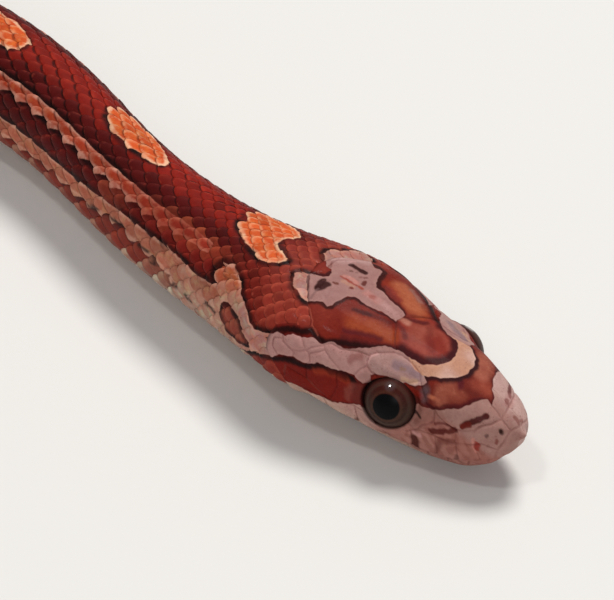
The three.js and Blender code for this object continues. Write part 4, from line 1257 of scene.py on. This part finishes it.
colour = scales.blend(scales.read("ink") * 0.9, colour, border_black)
# Painted shadow: dark crescents just beyond the tips and edges of the scales lying over each one, strongest
# towards the belly, away from the light.
shaded_side = 0.4 + 0.6 * scales.step(-0.35, 0.45, across_wire)
tip_shadow = (1 - scales.step(0.03, 0.24, tip_gap)) * shaded_side
near_tip = 0.25 + 0.75 * scales.step(-0.42, -0.08, along_wire)
spine_side_shadow = (1 - scales.step(0.0, 0.18, spine_gap)) * near_tip
belly_side_shadow = (1 - scales.step(0.0, 0.08, belly_gap)) * near_tip * 0.4
painted_shadow = scales.number("MAXIMUM", tip_shadow, scales.number("MAXIMUM", spine_side_shadow, belly_side_shadow))
painted_shadow = painted_shadow * scales.read("gaps") * (0.85 - in_mark * 0.25)
colour = scales.shade(painted_shadow, colour, (0.1, 0.06, 0.06))
keel_line = (1 - scales.step(0.02, 0.16, scales.number("ABSOLUTE", across_wire))) * keel_wire
scales.set(Base_Color=colour, Roughness=0.42 + grit * 0.2)
scales.set(Normal=scales.bump(grit * 0.4 + keel_line, 0.03))
scales.set(Coat_Weight=0.02, Coat_Roughness=0.1, Specular_IOR_Level=0.06)


def scale_centres(start, end):
    """Where the scales rooted between two places lie, how wide each is, and its row."""
    centres = []
    for row in range(-row_count, row_count + 1):
        side = -1 if row < 0 else 1
        spots = ring_steps[row % 2::2]
        spots = spots[(spots >= start) & (spots < end)]
        arc, unit = row_arc(abs(row), spots, side)
        arc = side * arc + spine_turn(spots)
        wide = row_weight(abs(row), spots)
        keep = wide / (row_girths[abs(row) - 1] if row else 1) > 0.3
        keep &= spots > scales_begin(np.abs(arc)) + 0.2 * pitch(spots)
        keep &= spots < tail_tip - 3
        for spot, a, w in zip(spots[keep], arc[keep], (unit * wide)[keep]):
            centres.append((spot, a, w, row))
    return np.array(centres).T


def bake_map(piece, spots):
    """Where each point of a piece lies on the map that its paint is baked on."""
    layer = piece.data.uv_layers.new(name="OFBake")
    corners = np.zeros(len(piece.data.loops), np.int32)
    piece.data.loops.foreach_get("vertex_index", corners)
    layer.data.foreach_set("uv", spots.reshape(-1, 2)[corners].astype(np.float32).ravel())


def scale_coat(name, start, end, around):
    """All the scales rooted between two places in one mesh, each with its own patch of the bake map."""
    back, arc, wide, row = scale_centres(start, end)
    side = np.where(row < 0, -1.0, 1.0)
    from_spine_row = np.abs(row)
    size = pitch(back)
    count = len(back)
    shape_along, shape_across, level, shape_faces = scale_shape(around)
    corner = 2.0 - 0.22 * smooth(22, 34, back)
    pointed = 2 / corner[:, None]
    tip = np.sign(shape_along) * np.abs(shape_along) ** pointed
    spread = np.sign(shape_across) * np.abs(shape_across) ** pointed
    reach = np.where(shape_along > 0, tip_share, root_share)[None] * size[:, None]
    twist = scale_draw.normal(0, 0.025, count)[:, None]
    d_back = -set_back * size[:, None] + tip * reach
    d_arc = spread * wide[:, None] * width_share + d_back * twist
    along = d_back / size[:, None]
    depth = coat_depth(back)[:, None]
    rise = np.maximum(along + (root_share + set_back), 0) / length_share
    steep = 0.86 + scale_draw.normal(0, 0.04, count)[:, None]
    lift = depth * (-1.2 + steep * rise ** 1.1 + 0.36 * level[None])
    points = lay(back[:, None] + d_back, arc[:, None] + d_arc, np.minimum(lift, 0.06))
    base = (np.arange(count) * len(level))[:, None, None]
    faces = [(part[None] + base).reshape(-1, part.shape[1]) for part in shape_faces]
    piece = make_piece(name, points.reshape(-1, 3), faces)

    spot_ground, spot_mark, spot_pale, _, _ = body_paint(back + 0.2 * size, arc)
    _, _, line, outline, ink = body_paint(back[:, None] + d_back, arc[:, None] + d_arc)
    from_turn = np.abs(arc - spine_turn(back)) / (belly_edge(back) - side * spine_turn(back))
    under = (from_spine_row > stripe_row) & (from_turn < flank_top(back) - 0.02)
    under |= from_turn > (flank_top(back) + flank_low(back)) / 2
    upper = (from_spine_row > 5) & ~under
    whole = (0.35 * smooth(19, 24, back) * (1 - 0.8 * upper))[:, None]
    pale = line + (np.clip(spot_pale[:, None], -1, 1) - np.clip(line, -1, 1)) * whole
    on_edge = (1 - smooth(0.1, 0.5, np.abs(spot_pale))) * smooth(26, 30, back)
    tooth = on_edge * (0.1 + 0.45 * under) * (1 - 0.9 * upper)
    pale = pale + tooth[:, None] * (along + set_back)
    tone = scale_draw.normal(1, 0.1, count)[:, None]
    blush = scale_draw.uniform(0, 1, count)
    saddle_like = smooth(0.42, 0.52, spot_mark[:, 0]) * smooth(0.42, 0.3, spot_mark[:, 1] / spot_mark[:, 0])
    spot_rim = mix(stripe_rim, saddle_rim, saddle_like)
    spot_edge = mix(pigment(206, 150, 130), pigment(240, 200, 164), saddle_like)
    young = (1 - smooth(30, 38, back)) * (1 - saddle_like) * (from_spine_row < 9) * smooth(24, 26, back)
    spot_edge = mix(spot_edge, pigment(176, 84, 62), young * 0.85)
    spot_rim = mix(spot_rim, pigment(184, 100, 74), young * 0.8)
    low_row = smooth(14.5, 15.5, from_spine_row) * smooth(29, 33, back)
    flank_spot = mix(flank_red, flank_pink, smooth(0.6, 0.8, blush))
    on_flank = smooth(0.1, 0.3, spot_ground[:, 1] / spot_ground[:, 0] - 0.05)
    spot_ground = mix(spot_ground, flank_spot, low_row * on_flank * 0.5)
    colours = {"ground": spot_ground, "mark": spot_mark, "mark_rim": spot_rim, "mark_edge": spot_edge}
    per_scale = len(level)
    for label, colour in colours.items():
        colours[label] = np.repeat(np.clip(colour * tone, 0, 1), per_scale, axis=0)
    write_values(piece, **colours)
    write_values(piece, pale=pale.ravel(), line=line.ravel(), outline=outline.ravel(), ink=ink.ravel())
    # How strong the painted shadow between the scales is: faint at the nape.
    gaps = 0.1 + 0.9 * smooth(18, 24, back)
    # How strong the painted highlight on the scale rims is: strongest at the nape.
    rim_highlight_share = 0.7 - 0.48 * smooth(20, 24, back)
    write_values(piece, corner=np.repeat(corner, per_scale), gaps=np.repeat(gaps, per_scale))
    write_values(piece, arcs=np.repeat(rim_highlight_share, per_scale))
    keel = 0.8 * smooth(90, 180, back) * (1 - smooth(3.5, 7.5, from_spine_row)) * (1 - smooth(640, 720, back))
    across = side[:, None] * (d_arc - d_back * twist) / wide[:, None]
    scale_place = np.stack(np.broadcast_arrays(along, across, keel[:, None]), -1)
    write_values(piece, scale_place=scale_place.reshape(-1, 3))

    flat_back = (back - start) / (end - start + 0.01) * 0.94 + 0.03
    flat = np.stack([flat_back, 0.5 + 0.46 * arc / belly_edge(back)], -1)
    bake_map(piece, flat[:, None] + 0.0017 * np.stack([shape_along, shape_across], -1)[None])
    piece.data.materials.append(scales.material)
    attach(piece, "root")


scale_coat("neck_scales", 13, 78, 20)
scale_coat("front_body_scales", 78, 225, 14)
scale_coat("middle_body_scales", 225, 380, 14)
scale_coat("rear_body_scales", 380, 540, 14)
scale_coat("hind_body_scales", 540, 676, 14)
scale_coat("tail_scales", 676, 800, 12)

# The belly scutes: single broad plates across the belly, one to each ring of scales, free at the
# rear edge, with the split anal plate at the vent and paired plates under the tail.
scutes = Finish("belly_scutes")
cloud = scutes.step(0.3, 0.75, scutes.grain(1.6, 5.0, 0.65))
colour = scutes.shade(cloud * 0.35, scutes.read("middle", "Color"), (0.8, 0.66, 0.6))
scutes.set(Base_Color=colour, Roughness=0.32 + scutes.grain(0.3) * 0.15)
scutes.set(Coat_Weight=0.1, Coat_Roughness=0.25)
paired_from = vent - 3


def scute_coat(name, start, end):
    """The broad plates between two places: single in front of the vent, and in pairs from there on."""
    spots = ring_steps[::2]
    spots = spots[(spots >= start) & (spots < end)]
    plates = []
    for spot in spots:
        if spot < paired_from:
            plates.append((spot, 0))
        else:
            plates += [(spot, 1), (spot, -1)]
    back, half = np.array(plates).T
    count = len(back)
    rows = 7
    cols = 25
    u, v = np.meshgrid(np.linspace(0, 1, rows), np.linspace(-1, 1, cols), indexing="ij")
    low = np.where(half > 0, 0.015, -1)[:, None, None]
    high = np.where(half < 0, -0.015, 1)[:, None, None]
    over = low + (high - low) * (v[None] + 1) / 2
    swept = -0.3 * np.abs(over) ** 10 * (u[None] - 0.2)
    place = back[:, None, None]
    place = place + pitch(place) * (-0.62 + 1.24 * u[None] + swept + 0.25 * np.abs(over) ** 3)
    depth = coat_depth(back)[:, None, None]
    edge = 1 - np.minimum(1, (1 - np.abs(over)) / 0.12)
    lift = np.minimum(depth * (-1.0 + 0.72 * u[None] ** 1.1 - 0.12 * edge), 0)
    width = (half_girth(back) - belly_edge(back) * 0.955)[:, None, None]
    arc = half_girth(back)[:, None, None] + over * width
    top = lay(place, arc, lift).reshape(count, -1, 3)
    under = lay(place, arc, lift - depth * 0.3).reshape(count, -1, 3)
    index = np.arange(rows * cols).reshape(rows, cols)
    face = np.stack([index[:-1, :-1], index[1:, :-1], index[1:, 1:], index[:-1, 1:]], -1).reshape(-1, 4)
    border = np.concatenate([index[0, :-1], index[:-1, -1], index[-1, :0:-1], index[:0:-1, 0]])
    ahead = np.roll(border, -1)
    wall = np.stack([border, ahead, ahead + rows * cols, border + rows * cols], -1)
    shell = np.concatenate([face, face[:, ::-1] + rows * cols, wall])
    base = (np.arange(count) * 2 * rows * cols)[:, None, None]
    points = np.concatenate([top, under], 1)
    piece = make_piece(name, points.reshape(-1, 3), [(shell[None] + base).reshape(-1, 4)])
    tone = scale_draw.normal(1, 0.05, count)[:, None]
    write_values(piece, middle=np.repeat(np.clip(belly_cream * tone, 0, 1), 2 * rows * cols, axis=0))
    slot_width = 0.96 / count
    flat_u = 0.02 + slot_width * (np.arange(count)[:, None, None] + 0.1 + 0.8 * u[None])
    flat = np.stack([flat_u, 0.04 + 0.92 * (over + 1) / 2], -1).reshape(count, -1, 2)
    bake_map(piece, np.concatenate([flat, flat], 1))
    piece.data.materials.append(scutes.material)
    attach(piece, "root")


scute_coat("belly_scutes_front", 16.9, 330)
scute_coat("belly_scutes_rear", 330, 795)

# The floor, the light and the camera: a pale studio floor, three soft lights and a wide pale sky, and
# the photograph's own viewpoint, to the right of the head and above it.
floor_mesh = bpy.data.meshes.new("floor")
floor_mesh.from_pydata([(-3, -3, 0), (3, -3, 0), (3, 3, 0), (-3, 3, 0)], [], [(0, 1, 2, 3)])
floor = bpy.data.objects.new("floor", floor_mesh)
bpy.context.scene.collection.objects.link(floor)
paving = Finish("pale_floor")
paving.set(Base_Color=pigment(226, 224, 220), Roughness=0.7)
floor.data.materials.append(paving.material)

snout = np.array([snout_x, middle_y, 0.0])
lit_point = (snout + np.array([-20, 5, 5])) * mm


def soft_light(name, away, width, power, colour):
    """A round lamp that stands this far away from the neck, in metres, and shines on it."""
    place = lit_point + np.array(away)
    lamp = bpy.data.lights.new(name, "AREA")
    lamp.shape = "DISK"
    lamp.size = width
    lamp.energy = power
    lamp.color = colour
    stand = bpy.data.objects.new(name, lamp)
    stand.location = place
    stand.rotation_euler = (Vector(lit_point) - Vector(place)).to_track_quat("-Z", "Y").to_euler()
    bpy.context.scene.collection.objects.link(stand)


soft_light("key_light", (-0.13, 0.42, 1.0), 0.45, 9.1, (1.0, 0.98, 0.95))
soft_light("catch_light", (-0.13, -0.37, 0.92), 0.12, 1.2, (1.0, 1.0, 1.0))
soft_light("fill_light", (0.75, -0.8, 0.6), 0.5, 4, (0.96, 0.98, 1.0))
world = bpy.data.worlds.new("studio")
world.use_nodes = True
world.node_tree.nodes["Background"].inputs["Color"].default_value = (0.95, 0.97, 1.0, 1)
world.node_tree.nodes["Background"].inputs["Strength"].default_value = 0.27
bpy.context.scene.world = world
bpy.context.scene.view_settings.view_transform = "Standard"

photo_width = 614
focal_length = 2377.87
lens = bpy.data.cameras.new("camera")
lens.sensor_width = 36
lens.lens = 36 * focal_length / photo_width
lens.clip_start = 0.01
camera = bpy.data.objects.new("camera", lens)
bpy.context.scene.collection.objects.link(camera)
bpy.context.scene.camera = camera
away = Vector((0.507, -0.636, 0.5818)).normalized()
upright = Vector((-0.3978, 0.4262, 0.8125))
across_view = upright.cross(away).normalized()
upright = away.cross(across_view)
turned = Matrix((across_view, upright, away)).transposed()
viewpoint = Vector((snout + np.array([64.75, -105.13, 102.44])) * mm)
camera.matrix_world = Matrix.Translation(viewpoint) @ turned.to_4x4()
